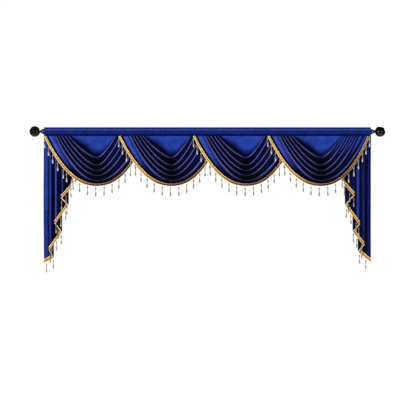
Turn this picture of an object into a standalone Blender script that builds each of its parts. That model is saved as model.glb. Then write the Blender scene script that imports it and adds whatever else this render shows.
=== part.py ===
"""Velvet swag valance on its curtain rod.

Metres, +Z up, front towards -Y, +X to the right. The origin is on the rod's axis at mid-length.
A velvet heading folds over the rod, four swags and two tails hang from its lower seam, and every
hem carries a gold braid and a fringe of bead strands.
"""
import bpy
import bmesh
import numpy as np
from math import acos, atan2, hypot, pi

# Driving dimensions ------------------------------------------------------------------------
FIT_GAP = 0.0003            # clearance between touching pieces
LAYER_GAP = 0.0006          # clearance between cloth, tape and braid
CLOTH = 0.0016              # thickness of the velvet
HALF_CLOTH = CLOTH / 2

ROD_RADIUS = 0.019
ROD_SIDES = 24
BALL_RADIUS = 0.0485
BALL_X = 1.5695             # centre of the ball at the rod's end
COLLAR_RADIUS = 0.0255
COLLAR_RING_X = 1.492       # where the collar's straight ring ends and its taper starts
COLLAR_END_X = 1.520
NECK_RADIUS = 0.0105
TAPER_BEND = 1.2            # above 1 the taper bulges, at 1 it is a straight cone

HEAD_WIDTH = 2.970          # length of the rod pocket
ROD_OVERHANG = 0.0012       # length of bare rod at each end of the pocket
HEAD_TOP = 0.0385           # top of the upright header, above the rod's axis
SEAM_Z = -0.0410            # lower seam, below the rod's axis
SEAM_TOP_Z = -0.0350
SEAM_FRONT_Y = -0.0175
SEAM_BACK_Y = 0.0215
POCKET_APEX_Z = -0.0300     # where the two sides of the pocket are stitched together

SWAG_COUNT = 4
SWAG_FIRST_X = -1.0154      # middle of the swag at the left
SWAG_PITCH = 0.6774
SWAG_SEGMENTS = 19          # bead strands along a swag's hem, one in each segment

BRAID = 0.0015              # thickness of the braid
TAPE_WIDTH = 0.007          # heading tape of the bead fringe
TAPE = 0.0010
STRAND_LENGTH = 0.098
STRAND_ROOT = 0.0014        # half width of a bead strand where it leaves the tape
STRAND_DROP = 0.0056        # half width at its long lower bead
STRAND_DEPTH = 0.0015       # half depth at its long lower bead
STRAND_SPACING = 0.0745     # along a tail's hem
STRAND_MARGIN = 0.007       # kept between a strand and a fold
LEFT_OUTER_STRAND = 0.026   # from the left tail's outer edge to its first strand
RIGHT_OUTER_STRAND = 0.062  # and from the right tail's

JABOT_FRONT_Y = 0.0018      # foremost layer of a tail
PRESSED_PITCH = 0.0030      # distance between a tail's layers at the seam
JABOT_OPEN = 0.30           # depth below the seam at which its layers have opened fully

# Swag: one row for each line of the cloth that runs from seam to seam. left and right are where
# the line meets the seam on either side of mid-swag, drop is how low it hangs at mid-swag,
# forward is how far it stands out.
SWAG_ROWS = (
    # name, left, right, drop, forward
    ("seam", 0.2000, 0.1600, 0.0000, 0.0000),
    ("panel shoulder", 0.2100, 0.1650, 0.0500, 0.0080),
    ("panel belly", 0.2200, 0.1700, 0.1020, 0.0130),
    ("panel foot", 0.2330, 0.1730, 0.1480, 0.0000),
    ("fold 1", 0.2480, 0.1800, 0.1940, 0.0160),
    ("valley 1", 0.2630, 0.2000, 0.2310, 0.0000),
    ("fold 2", 0.2770, 0.2220, 0.2640, 0.0180),
    ("valley 2", 0.2940, 0.2500, 0.2900, 0.0000),
    ("fold 3", 0.3110, 0.2770, 0.3140, 0.0180),
    ("valley 3", 0.3250, 0.3000, 0.3370, 0.0000),
    ("fold 4", 0.3390, 0.3230, 0.3590, 0.0180),
    ("valley 4", 0.3520, 0.3560, 0.3830, 0.0000),
    ("fold 5", 0.3650, 0.4050, 0.4040, 0.0160),
    ("braid line", 0.4480, 0.4410, 0.4325, 0.0000),
    ("hem", 0.4700, 0.4630, 0.4525, 0.0000),
)
BRAID_LINE = 13             # number of the braid line's row
OPEN_WIDER = 0.020          # how much further out the folds lie at the uncovered right end
OPEN_TIGHTER = 0.006        # how much tighter the braid line and the hem are drawn there
SKEW = 0.018                # how far right of mid-swag the folds hang lowest
HEM_SKEW = 0.55             # share of that which is left at the hem
SEAM_LEAN = 0.0055          # at the seam the left end lies this far in front of mid-swag
SEAM_MIDDLE_Y = -0.0070
OPEN_LEAN = 0.0220          # further down the left end stands this much further forward
COVERED_LEAN = 0.0220       # and the right end, which the next swag covers, this much back
LEAN_OPEN = 0.110           # depth below the seam at which they do
SWAG_OPEN = 0.15            # depth below the seam at which the pressed pleats have opened
PRESSED_SHARE = 0.20        # share of a fold's height that is left at the seam
SWAG_BULGE = 0.026          # how far the middle of the hem hangs forward
HEM_TUCK = 0.006            # how far the hem tucks back under the braid line at mid-swag
SHARP_POWER, ROUND_POWER = 1.45, 2.30
ROUNDING = 0.16             # share of the half width over which the lowest place is rounded

# Tails: one row for each corner of the hem, from the inner edge to the outer one. x is where
# the corner lies, drop is how far below the seam, opened is how far behind the front layer.
JABOT_LEFT = (
    # corner, x, drop, opened
    ("inner edge", -1.2002, 0.3180, 0.0000),
    ("first corner", -1.2484, 0.4770, 0.0000),
    ("fold 1", -1.3320, 0.5680, 0.0000),
    ("fold 2", -1.2629, 0.6300, 0.0060),
    ("fold 3", -1.3920, 0.7960, 0.0175),
    ("fold 4", -1.3238, 0.8770, 0.0235),
    ("fold 5", -1.4447, 1.0380, 0.0350),
    ("fold 6", -1.4011, 1.1100, 0.0410),
    ("outer edge", -1.4890, 1.1550, 0.0525),
)
JABOT_RIGHT = (
    # corner, x, drop, opened
    ("inner edge", 1.2093, 0.3090, 0.0000),
    ("first corner", 1.2438, 0.4410, 0.0000),
    ("fold 1", 1.3348, 0.5410, 0.0000),
    ("fold 2", 1.2502, 0.6300, 0.0060),
    ("fold 3", 1.3848, 0.8050, 0.0175),
    ("fold 4", 1.3211, 0.8710, 0.0235),
    ("fold 5", 1.4266, 0.9960, 0.0350),
    ("fold 6", 1.3702, 1.0550, 0.0410),
    ("outer edge", 1.4885, 1.1480, 0.0525),
)
JABOT_ROWS = (0.0, 0.10, 0.32, 1.0)                 # shares of the way from seam to braid line
JABOT_BRAID_HEIGHT = 0.034                          # upright height of the slanting braid
FOLD_REACH = 0.0040                                 # how far a fold's turn reaches inwards
FOLD_CORNER = 0.20                                  # share of the pitch taken by each corner
SWELL = 0.005                                       # how far an open front layer bows forward
SWELL_PLACE = 0.82                                  # where it does, on the way to its fold


# Materials ---------------------------------------------------------------------------------
def make_material(name, colour, roughness, metallic=0.0):
    """Return a material with one Principled shader."""
    material = bpy.data.materials.new(name)
    material.use_nodes = True
    shader = material.node_tree.nodes["Principled BSDF"]
    shader.inputs["Base Color"].default_value = (*colour, 1.0)
    shader.inputs["Roughness"].default_value = roughness
    shader.inputs["Metallic"].default_value = metallic
    return material


# Meshes ------------------------------------------------------------------------------------
def add_object(name, points, faces, material, smooth_angle=None):
    """Make an object from points and faces, with every face turned outwards."""
    mesh = bpy.data.meshes.new(name)
    mesh.from_pydata([tuple(point) for point in points], [], faces)
    solid = bmesh.new()
    solid.from_mesh(mesh)
    bmesh.ops.recalc_face_normals(solid, faces=solid.faces)
    solid.to_mesh(mesh)
    solid.free()
    mesh.materials.append(material)
    if smooth_angle is not None:
        mesh.shade_smooth()
        mesh.set_sharp_from_angle(angle=smooth_angle)
    new_object = bpy.data.objects.new(name, mesh)
    bpy.context.scene.collection.objects.link(new_object)
    return new_object


def grid_normals(grid):
    """Return a normal for each point of a grid, scaled so that an offset keeps its thickness.

    A point's direction is the mean of the normals of the faces round it, divided by the cosine
    of the angle between that mean and those faces.
    """
    along = grid[1:, :-1] + grid[1:, 1:] - grid[:-1, :-1] - grid[:-1, 1:]
    across = grid[:-1, 1:] + grid[1:, 1:] - grid[:-1, :-1] - grid[1:, :-1]
    flat = np.cross(along, across)
    flat /= np.linalg.norm(flat, axis=2, keepdims=True)
    total = np.zeros_like(grid)
    count = np.zeros(grid.shape[:2] + (1,))
    rows, columns = flat.shape[:2]
    for row in (0, 1):
        for column in (0, 1):
            total[row:row + rows, column:column + columns] += flat
            count[row:row + rows, column:column + columns] += 1
    mean = total / count
    return mean / np.sum(mean * mean, axis=2, keepdims=True)


def offset_grid(grid, distance):
    """Move a grid of points along its normals."""
    return grid + grid_normals(grid) * distance


def add_shell(name, front, back, material, smooth_angle=None):
    """Close two matching grids into one solid with a wall round their four edges.

    The cells of a draped sheet are twisted, so each is cut into two triangles, along the same
    diagonal on both sides, which keeps the sheet's thickness.
    """
    rows, columns = front.shape[:2]
    size = rows * columns
    index = np.arange(size).reshape(rows, columns)
    first = np.stack([index[:-1, :-1], index[1:, :-1], index[1:, 1:]], axis=-1).reshape(-1, 3)
    second = np.stack([index[:-1, :-1], index[1:, 1:], index[:-1, 1:]], axis=-1).reshape(-1, 3)
    face_front = np.concatenate([first, second])
    face_back = face_front[:, ::-1] + size
    rim = np.concatenate([index[:-1, 0], index[-1, :-1], index[:0:-1, -1], index[0, :0:-1]])
    after = np.roll(rim, -1)
    wall = np.concatenate([np.stack([after, rim, rim + size], axis=-1),
                           np.stack([after, rim + size, after + size], axis=-1)])
    points = np.concatenate([front.reshape(-1, 3), back.reshape(-1, 3)])
    faces = np.concatenate([face_front, face_back, wall]).tolist()
    return add_object(name, points, faces, material, smooth_angle)


def smooth_step(value):
    """Ease from 0 to 1 as the value goes from 0 to 1."""
    share = np.clip(value, 0.0, 1.0)
    return share * share * (3 - 2 * share)


# Rod and finials ---------------------------------------------------------------------------
def add_turned(name, profile, material):
    """Turn a profile of (x, radius) pairs round the X axis; both ends close at radius 0."""
    angles = np.arange(ROD_SIDES) * 2 * pi / ROD_SIDES
    rings = profile[1:-1]
    points = [(profile[0][0], 0.0, 0.0)]
    for x, radius in rings:
        points += [(x, radius * np.cos(angle), radius * np.sin(angle)) for angle in angles]
    points.append((profile[-1][0], 0.0, 0.0))
    last = len(points) - 1
    faces = []
    for side in range(ROD_SIDES):
        beside = (side + 1) % ROD_SIDES
        faces.append((0, 1 + side, 1 + beside))
        for ring in range(len(rings) - 1):
            start = 1 + ring * ROD_SIDES
            faces.append((start + side, start + ROD_SIDES + side, start + ROD_SIDES + beside,
                          start + beside))
        start = 1 + (len(rings) - 1) * ROD_SIDES
        faces.append((start + side, last, start + beside))
    return add_object(name, points, faces, material, smooth_angle=pi / 5)


def arc(centre_x, radius, start, end, steps):
    """Return (x, radius) pairs on a circle about a point of the X axis, by angle from +X."""
    angles = np.linspace(start, end, steps)
    return [(centre_x + radius * np.cos(angle), radius * np.sin(angle)) for angle in angles]


def add_rod(material):
    """Make the plain round pole, which ends against the collars."""
    end_x = HEAD_WIDTH / 2 + ROD_OVERHANG
    return add_turned("rod", [(-end_x, 0.0), (-end_x, ROD_RADIUS), (end_x, ROD_RADIUS),
                              (end_x, 0.0)], material)


def add_finial(name, side, material):
    """Turn one rod end: a collar that tapers to a thin neck, and a ball."""
    start_x = HEAD_WIDTH / 2 + ROD_OVERHANG + FIT_GAP
    taper = [(COLLAR_RING_X + share * (COLLAR_END_X - COLLAR_RING_X),
              COLLAR_RADIUS - share ** TAPER_BEND * (COLLAR_RADIUS - NECK_RADIUS))
             for share in np.linspace(0.0, 1.0, 5)]
    neck_angle = pi - np.arcsin(NECK_RADIUS / BALL_RADIUS)
    ball = arc(BALL_X, BALL_RADIUS, neck_angle, pi / 12, 11)
    profile = [(start_x, 0.0), (start_x, COLLAR_RADIUS), *taper, *ball,
               (BALL_X + BALL_RADIUS, 0.0)]
    return add_turned(name, [(side * x, radius) for x, radius in profile], material)


# Heading -----------------------------------------------------------------------------------
def tangent_angle(radius, y, z, side):
    """Angle on a circle about the rod's axis where the line from the point (y, z) touches it."""
    return atan2(z, y) + side * acos(radius / hypot(y, z))


def ring_arc(radius, start, end, steps):
    """Return (y, z) pairs on a circle about the rod's axis."""
    angles = np.linspace(start, end, steps)
    return [(radius * np.cos(angle), radius * np.sin(angle)) for angle in angles]


def add_heading(material):
    """Make the band: a header of two layers, the pocket round the rod and the thick lower seam."""
    inner = ROD_RADIUS + FIT_GAP
    outer = inner + CLOTH
    foot = acos(CLOTH / outer)
    front_touch = tangent_angle(outer, SEAM_FRONT_Y, SEAM_TOP_Z, -1) + 2 * pi
    back_touch = tangent_angle(outer, SEAM_BACK_Y, SEAM_TOP_Z, 1)
    outline = [(CLOTH, HEAD_TOP), (-CLOTH, HEAD_TOP)]
    outline += ring_arc(outer, pi - foot, front_touch, 9)
    outline += [(SEAM_FRONT_Y, SEAM_TOP_Z), (SEAM_FRONT_Y, SEAM_Z)]
    outline += [(SEAM_BACK_Y, SEAM_Z), (SEAM_BACK_Y, SEAM_TOP_Z)]
    outline += ring_arc(outer, back_touch, foot, 8)
    apex_touch = tangent_angle(inner, 0.0, POCKET_APEX_Z, 1)
    hole = ring_arc(inner, apex_touch, pi - apex_touch, 19) + [(0.0, POCKET_APEX_Z)]

    section = bmesh.new()
    for loop in (outline, hole):
        verts = [section.verts.new((-HEAD_WIDTH / 2, y, z)) for y, z in loop]
        for vert, beside in zip(verts, verts[1:] + verts[:1]):
            section.edges.new((vert, beside))
    bmesh.ops.triangle_fill(section, use_beauty=True, use_dissolve=False, edges=section.edges)
    pulled = bmesh.ops.extrude_face_region(section, geom=section.faces[:])
    moved = [item for item in pulled["geom"] if isinstance(item, bmesh.types.BMVert)]
    bmesh.ops.translate(section, verts=moved, vec=(HEAD_WIDTH, 0.0, 0.0))
    points = [tuple(vert.co) for vert in section.verts]
    faces = [[vert.index for vert in face.verts] for face in section.faces]
    section.free()
    return add_object("heading", points, faces, material, smooth_angle=pi / 5)


# Swags -------------------------------------------------------------------------------------
def swag_stations():
    """Return shares u from -1 to 1 that cut the hem into equal lengths."""
    fine = np.linspace(-1.0, 1.0, 2001)
    half_width, drop = SWAG_ROWS[-1][1], SWAG_ROWS[-1][3]
    x = half_width * fine
    z = -drop * (1 - np.abs(fine) ** ROUND_POWER)
    length = np.concatenate([[0.0], np.cumsum(np.hypot(np.diff(x), np.diff(z)))])
    return np.interp(np.linspace(0.0, length[-1], SWAG_SEGMENTS + 1), length, fine)


def swag_grid(centre_x, covered):
    """Return the swag's middle surface as a grid of rows from seam to hem.

    Along a row, x runs evenly from one seam end to the other and the drop follows
    1 - |u| ** power with a rounded middle, sharper near the panel and rounder at the hem. A row
    stands forward by its own fold, pressed flat at the seam, by the swag's bulge, and by the lean
    that puts the left end of each swag in front of its neighbour's right end. A covered right end
    is pushed back. In an uncovered one the folds spread wider and the hem is drawn tighter.
    """
    u = swag_stations()[None, :]
    row = np.arange(len(SWAG_ROWS))[:, None]
    left, right, drop, forward = (np.array([line[column] for line in SWAG_ROWS])[:, None]
                                  for column in (1, 2, 3, 4))
    if not covered:
        wider = OPEN_WIDER * smooth_step((row - 1) / 2)
        right = right + np.where(row < BRAID_LINE, wider, -OPEN_TIGHTER)
    hem_half, hem_drop = left[-1], drop[-1]
    depth_share = drop / hem_drop
    power = SHARP_POWER + (ROUND_POWER - SHARP_POWER) * depth_share ** 4
    x = (left + (right - left) * smooth_step(u + 0.5)) * u
    start = ROUNDING ** power
    rise = (u ** 2 + ROUNDING ** 2) ** (power / 2) - start
    fall = drop * (1 - rise / ((1 + ROUNDING ** 2) ** (power / 2) - start))
    opened = smooth_step(fall / SWAG_OPEN)
    across = x / hem_half
    pushed = COVERED_LEAN * smooth_step(2 * across) if covered else 0.0
    hung = pushed - OPEN_LEAN * (1 - across) / 2
    lean = SEAM_LEAN * across + hung * smooth_step(fall / LEAN_OPEN)
    fold = forward * (PRESSED_SHARE + (1 - PRESSED_SHARE) * opened)
    bulge = SWAG_BULGE * depth_share * (1 - u ** 2)
    y = SEAM_MIDDLE_Y + lean - fold - bulge
    y[-1] = y[-2] + HEM_TUCK * (1 - u[0] ** 2) ** 2
    steady = smooth_step((row - BRAID_LINE + 1) / 2)
    skewed = SKEW * depth_share * (1 - u ** 2) * (1 - (1 - HEM_SKEW) * steady)
    return np.stack([centre_x + x + skewed, y, SEAM_Z - FIT_GAP - fall], axis=-1)


def keep_below_seam(grid):
    """Trim a grid's points at the seam, where the heading starts."""
    grid[..., 2] = np.minimum(grid[..., 2], SEAM_Z - FIT_GAP)
    return grid


def add_swag(name, middle, material):
    """Make one swag as a sheet on both sides of its middle surface."""
    front, back = offset_grid(middle, HALF_CLOTH), offset_grid(middle, -HALF_CLOTH)
    seam_edge = np.zeros(middle.shape[:2], bool)
    seam_edge[0, :] = seam_edge[:, 0] = seam_edge[:, -1] = True
    for side in (front, back):
        side[..., 2] = np.where(seam_edge, SEAM_Z - FIT_GAP, side[..., 2])
    return add_shell(name, keep_below_seam(front), keep_below_seam(back), material, pi / 3)


# Tails -------------------------------------------------------------------------------------
def swell_point(start, end):
    """Return the point of a front layer that bows forward, between two points of its path."""
    x, drop, opened, pressed = (1 - SWELL_PLACE) * np.array(start) + SWELL_PLACE * np.array(end)
    return [x, drop, opened - SWELL, pressed]


def jabot_plan(corners):
    """Return plan points of a tail's back-and-forth path, from the inner edge to the outer.

    Each point is (x, hem drop, opened, pressed): the last two say how far behind the front
    layer the point lies where the layers are open and where they are pressed at the seam.
    A fold has four points, so that it turns in three short straight runs.
    """
    points = [[*corners[0][1:4], 0.0], [*corners[1][1:4], 0.0]]
    for layer, (here, after) in enumerate(zip(corners[2:], corners[3:])):
        x, drop, opened = here[1:4]
        inwards = FOLD_REACH * np.sign(x - points[-1][0])
        step = after[3] - opened
        pressed = layer * PRESSED_PITCH
        if layer % 2 == 0:
            points.append(swell_point(points[-1], (x, drop, opened, pressed)))
        points += [
            [x - inwards, drop, opened, pressed],
            [x, drop, opened + FOLD_CORNER * step, pressed + FOLD_CORNER * PRESSED_PITCH],
            [x, drop, opened + (1 - FOLD_CORNER) * step,
             pressed + (1 - FOLD_CORNER) * PRESSED_PITCH],
            [x - inwards, drop, opened + step, pressed + PRESSED_PITCH],
        ]
    outer_edge = [*corners[-1][1:4], points[-1][3]]
    points += [swell_point(points[-1], outer_edge), outer_edge]
    return np.array(points)


def jabot_grid(corners):
    """Return a tail's middle surface as a grid of rows from seam to hem."""
    plan = jabot_plan(corners)
    x, drop, opened, pressed = plan.T
    shares = np.array(JABOT_ROWS)[:, None]
    fall = np.concatenate([shares * (drop - JABOT_BRAID_HEIGHT), drop[None, :]])
    open_share = smooth_step(fall / JABOT_OPEN)
    y = JABOT_FRONT_Y + pressed * (1 - open_share) + opened * open_share
    return np.stack([np.broadcast_to(x, fall.shape), y, SEAM_Z - FIT_GAP - fall], axis=-1)


def add_jabot(name, middle, material):
    """Make one tail as a folded sheet."""
    return add_shell(name, offset_grid(middle, HALF_CLOTH), offset_grid(middle, -HALF_CLOTH),
                     material, pi / 3)


# Braid and bead fringe ---------------------------------------------------------------------
def hem_layers(grid, face, folded):
    """Return a cloth's last two rows, the braid line and the hem, and their way outwards.

    face is 1 or -1: the side of the grid's normals that is the cloth's right side. On a folded
    hem the way outwards follows the normals. On a swag it is straight to the front, so that
    braid and tape keep the hem's outline, and its length keeps their thickness.
    """
    strip = grid[-2:]
    outwards = grid_normals(strip) * face
    if not folded:
        outwards = np.stack([0 * outwards[..., 0], 1 / outwards[..., 1], 0 * outwards[..., 2]],
                            axis=-1)
    return strip, outwards


def add_braid(name, grid, face, folded, material):
    """Make the braid on the cloth's right side, over the fringe's tape."""
    strip, outwards = hem_layers(grid, face, folded)
    near = HALF_CLOTH + LAYER_GAP + TAPE + LAYER_GAP
    return add_shell(name, keep_below_seam(strip + outwards * near),
                     keep_below_seam(strip + outwards * (near + BRAID)), material)


def add_fringe(name, grid, face, folded, strands, material):
    """Make the fringe as one comb: a tape under the braid with a tooth for each bead strand.

    strands lists (segment, share along it) for each tooth, in order along the hem.
    """
    strip, outwards = hem_layers(grid, face, folded)
    run = np.linalg.norm(strip[0] - strip[1], axis=1)[:, None]
    upper = strip[1] + (strip[0] - strip[1]) * TAPE_WIDTH / run
    near = HALF_CLOTH + LAYER_GAP
    far = near + TAPE
    lower_near, lower_far = (keep_below_seam(strip[1] + outwards[1] * offset)
                             for offset in (near, far))
    upper_near, upper_far = (keep_below_seam(upper + outwards[1] * offset)
                             for offset in (near, far))

    comb = bmesh.new()

    def vert(point):
        return comb.verts.new(tuple(point))

    def between(line, segment, share):
        return line[segment] * (1 - share) + line[segment + 1] * share

    corners = [[vert(line[station]) for line in (upper_near, upper_far, lower_far, lower_near)]
               for station in range(strip.shape[1])]
    by_segment = {}
    for segment, share in strands:
        by_segment.setdefault(segment, []).append(share)
    for segment in range(strip.shape[1] - 1):
        start, end = corners[segment], corners[segment + 1]
        length = np.linalg.norm(strip[1, segment + 1] - strip[1, segment])
        cuts = []
        for share in by_segment.get(segment, []):
            half = STRAND_ROOT / length
            cuts.append([[vert(between(line, segment, place)) for line in (lower_near, lower_far)]
                         for place in (share - half, share + half)])
        edge = [pair for cut in cuts for pair in cut]
        near_edge = [pair[0] for pair in edge]
        far_edge = [pair[1] for pair in edge]
        comb.faces.new([start[0], end[0], end[1], start[1]])
        comb.faces.new([start[0], start[3], *near_edge, end[3], end[0]])
        comb.faces.new([start[1], end[1], end[2], *reversed(far_edge), start[2]])
        stops = [(start[3], start[2]), *edge, (end[3], end[2])]
        for first, second in zip(stops[0::2], stops[1::2]):
            comb.faces.new([first[0], first[1], second[1], second[0]])
        for cut in cuts:
            add_tooth(comb, cut)
    comb.faces.new(corners[0])
    comb.faces.new(list(reversed(corners[-1])))
    comb.verts.index_update()
    points = [tuple(item.co) for item in comb.verts]
    faces = [[item.index for item in face_.verts] for face_ in comb.faces]
    comb.free()
    return add_object(name, points, faces, material)


def add_tooth(comb, cut):
    """Hang one bead strand from four points of the tape's lower edge."""
    loop = [cut[0][0], cut[0][1], cut[1][1], cut[1][0]]
    root = np.mean([tuple(item.co) for item in loop], axis=0)
    side = np.sign(cut[1][0].co.x - cut[0][0].co.x)
    back = np.sign(cut[0][1].co.y - cut[0][0].co.y)
    end = [comb.verts.new((root[0] + across * side * STRAND_DROP,
                           root[1] + depth * back * STRAND_DEPTH, root[2] - STRAND_LENGTH))
           for across, depth in ((-1, -1), (-1, 1), (1, 1), (1, -1))]
    for corner in range(4):
        beside = (corner + 1) % 4
        comb.faces.new([loop[corner], loop[beside], end[beside], end[corner]])
    comb.faces.new(end)


def jabot_strands(grid, outer_strand):
    """Choose places for strands along a tail's hem, counted up from its outer edge.

    A place that would fall on a fold's turn moves to the end of the nearest flat layer.
    """
    chords = np.linalg.norm(np.diff(grid[-1], axis=0), axis=1)
    ends = np.cumsum(chords)
    flat = np.flatnonzero(chords > 2 * STRAND_MARGIN)
    strands = []
    for place in np.arange(ends[-1] - outer_strand, 0.0, -STRAND_SPACING):
        inside = np.clip(place, ends[flat] - chords[flat] + STRAND_MARGIN,
                         ends[flat] - STRAND_MARGIN)
        nearest = int(np.argmin(np.abs(inside - place)))
        segment = int(flat[nearest])
        strands.append((segment, 1 - (ends[segment] - inside[nearest]) / chords[segment]))
    return sorted(strands)


# Assembly ----------------------------------------------------------------------------------
def build():
    """Make every piece of the valance."""
    for old in list(bpy.data.objects):
        bpy.data.objects.remove(old, do_unlink=True)
    black_lacquer = make_material("black_lacquer", (0.010, 0.010, 0.011), 0.25)
    velvet = make_material("velvet", (0.022, 0.042, 0.290), 0.85)
    gold_braid = make_material("gold_braid", (0.560, 0.360, 0.120), 0.60)
    beads = make_material("beads", (0.520, 0.480, 0.300), 0.25)

    add_rod(black_lacquer)
    add_finial("finial_left", -1, black_lacquer)
    add_finial("finial_right", 1, black_lacquer)
    add_heading(velvet)

    middle_strands = [(segment, 0.5) for segment in range(SWAG_SEGMENTS)]
    for number in range(SWAG_COUNT):
        grid = swag_grid(SWAG_FIRST_X + number * SWAG_PITCH, covered=number < SWAG_COUNT - 1)
        add_swag(f"swag_{number + 1}", grid, velvet)
        add_braid(f"braid_swag_{number + 1}", grid, 1, False, gold_braid)
        add_fringe(f"bead_fringe_swag_{number + 1}", grid, 1, False, middle_strands, beads)

    for name, corners, face, outer_strand in (("left", JABOT_LEFT, -1, LEFT_OUTER_STRAND),
                                              ("right", JABOT_RIGHT, 1, RIGHT_OUTER_STRAND)):
        grid = jabot_grid(corners)
        strands = jabot_strands(grid, outer_strand)
        add_jabot(f"jabot_{name}", grid, velvet)
        add_braid(f"braid_jabot_{name}", grid, face, True, gold_braid)
        add_fringe(f"bead_fringe_jabot_{name}", grid, face, True, strands, beads)


build()
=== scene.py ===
# %% [markdown]
# # A velvet swag valance on its rod
#
# This lesson dresses a plain model of a window valance. The model is already built: a black pole
# with ball ends, a velvet heading, four swags, two pleated tails, gold braid and bead fringe.
# Its solids are loaded first and never moved. Each soft piece is then made again as a fine
# surface in the same place, and gets a finish that follows the real material.
#
# Lengths are metres. X runs along the pole, Y towards the window and Z upwards, and the origin is
# on the pole's axis at mid-length. Every shape is a formula worked out on whole numpy arrays, so
# one line of it moves thousands of points at once.

# %% Load the frame
import bpy
import numpy as np
from math import acos, atan2, hypot, pi
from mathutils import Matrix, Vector


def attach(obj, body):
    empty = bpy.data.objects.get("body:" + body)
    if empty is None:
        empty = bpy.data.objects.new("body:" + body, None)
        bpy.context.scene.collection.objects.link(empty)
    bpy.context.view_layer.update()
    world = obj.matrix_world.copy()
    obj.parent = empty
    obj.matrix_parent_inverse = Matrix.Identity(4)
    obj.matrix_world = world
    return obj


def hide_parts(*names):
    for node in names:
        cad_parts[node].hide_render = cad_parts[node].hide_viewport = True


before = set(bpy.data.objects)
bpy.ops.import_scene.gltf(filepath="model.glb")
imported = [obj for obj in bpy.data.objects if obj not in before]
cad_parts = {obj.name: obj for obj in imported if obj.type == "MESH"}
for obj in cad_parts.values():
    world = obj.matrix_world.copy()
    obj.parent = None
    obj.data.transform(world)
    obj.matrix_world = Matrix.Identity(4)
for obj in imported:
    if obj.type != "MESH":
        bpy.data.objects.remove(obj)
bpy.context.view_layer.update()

# %% [markdown]
# ## Camera, light and floor
#
# A valance hangs above a window, so it is looked at straight on, from far away and with a long
# lens, which keeps the pole and the hems free of perspective. The background is plain white
# paper. Two lamps in front, the stronger one at the left, give the folds a lit and a dark side. One
# behind shows the back, a wide one lights the floor, and a weak glow from everywhere else keeps
# the shadows soft. The floor itself is made at the end, as far below as in a real room.

# %% Camera
FRAME_WIDTH = 3.782             # width seen at the valance, in metres
FRAME_CENTRE = (0.0045, -0.6956)  # X and Z of the middle of the view
LENS, SENSOR = 200.0, 36.0      # in millimetres

scene = bpy.context.scene
camera_data = bpy.data.cameras.new("camera")
camera_data.lens, camera_data.sensor_width = LENS, SENSOR
camera_data.clip_end = 100.0
camera = bpy.data.objects.new("camera", camera_data)
camera.location = (FRAME_CENTRE[0], -FRAME_WIDTH * LENS / SENSOR, FRAME_CENTRE[1])
camera.rotation_euler = (pi / 2, 0.0, 0.0)
scene.collection.objects.link(camera)
scene.camera = camera
scene.view_settings.view_transform = "Standard"
print("camera stands", round(-camera.location.y, 2), "m away")


# %% Lamps
FLOOR_Z = -2.35                 # height of the floor
SWAG_HEART = (0.0, 0.0, -0.4)   # where the lamps point: the middle of the swags


def add_lamp(name, place, aim, size, power):
    """Hang a square soft lamp at place, turned towards aim, size metres wide, power in watts."""
    data = bpy.data.lights.new(name, "AREA")
    data.shape, data.size, data.energy = "SQUARE", size, power
    lamp = bpy.data.objects.new(name, data)
    lamp.location = place
    way = Vector(aim) - lamp.location
    lamp.rotation_euler = way.to_track_quat("-Z", "Y").to_euler()
    scene.collection.objects.link(lamp)


add_lamp("left lamp", (-5.1, -7.0, 0.6), SWAG_HEART, 0.9, 560)
add_lamp("right lamp", (5.1, -7.0, 0.3), SWAG_HEART, 0.9, 380)
add_lamp("rear lamp", (2.5, 6.5, 1.2), SWAG_HEART, 2.0, 380)
add_lamp("floor lamp", (0.0, -0.5, -1.45), (0.0, -0.5, FLOOR_Z), 9.0, 314)

# %% Background: the camera sees white paper, and the valance gets a weak glow of cool daylight
PAPER, DAYLIGHT, GLOW = (1.0, 1.0, 1.0, 1.0), (0.9, 0.94, 1.0, 1.0), 0.13

world = bpy.data.worlds.new("white paper")
world.use_nodes = True
scene.world = world
sky = world.node_tree
sky_out, sky_paper = sky.nodes["World Output"], sky.nodes["Background"]
sky_paper.inputs["Color"].default_value = PAPER
sky_glow = sky.nodes.new("ShaderNodeBackground")
sky_glow.inputs["Color"].default_value = DAYLIGHT
sky_glow.inputs["Strength"].default_value = GLOW
sky_path = sky.nodes.new("ShaderNodeLightPath")
sky_mix = sky.nodes.new("ShaderNodeMixShader")
sky.links.new(sky_path.outputs["Is Camera Ray"], sky_mix.inputs[0])
sky.links.new(sky_glow.outputs[0], sky_mix.inputs[1])
sky.links.new(sky_paper.outputs[0], sky_mix.inputs[2])
sky.links.new(sky_mix.outputs[0], sky_out.inputs[0])
print("glow", GLOW, "of the paper's white")

# %% [markdown]
# ## Working with grids of points
#
# Cloth is a surface, so each piece is a grid: one number says how far along it a point lies and
# another how far down. Sculpting or a cloth simulation could drape it too, but then the folds
# fall where they like, and on a sewn valance each one has its place. The helpers below draw smooth
# curves, turn grids into meshes and give every point its marks: named numbers, such as how open
# the pile stands there, which the finishes read.


# %% Curves and steps
def smooth_step(value):
    """Ease from 0 to 1: 3 s squared minus 2 s cubed, with s clipped to 0 to 1."""
    share = np.clip(value, 0.0, 1.0)
    return share * share * (3 - 2 * share)


def band(value, start, end, ease_in, ease_out):
    """1 between start and end: a smooth step up after start times a smooth step before end."""
    return smooth_step((value - start) / ease_in) * smooth_step((end - value) / ease_out)


def through_rows(values, place):
    """A smooth curve through numbered values; place 2.5 is half way from value 2 to value 3.

    Each span is the cubic whose slope at either end is half the difference of the neighbours.
    """
    values = np.asarray(values, float)
    first, last = 2 * values[0] - values[1], 2 * values[-1] - values[-2]
    line = np.concatenate([[first], values, [last]])
    here = np.clip(np.floor(place).astype(int), 0, len(values) - 2)
    share = place - here
    before, start, end, after = (line[here + step] for step in range(4))
    return (start + (end - before) * share / 2
            + (before - 2.5 * start + 2 * end - after / 2) * share ** 2
            + (1.5 * (start - end) + (after - before) / 2) * share ** 3)


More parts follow.
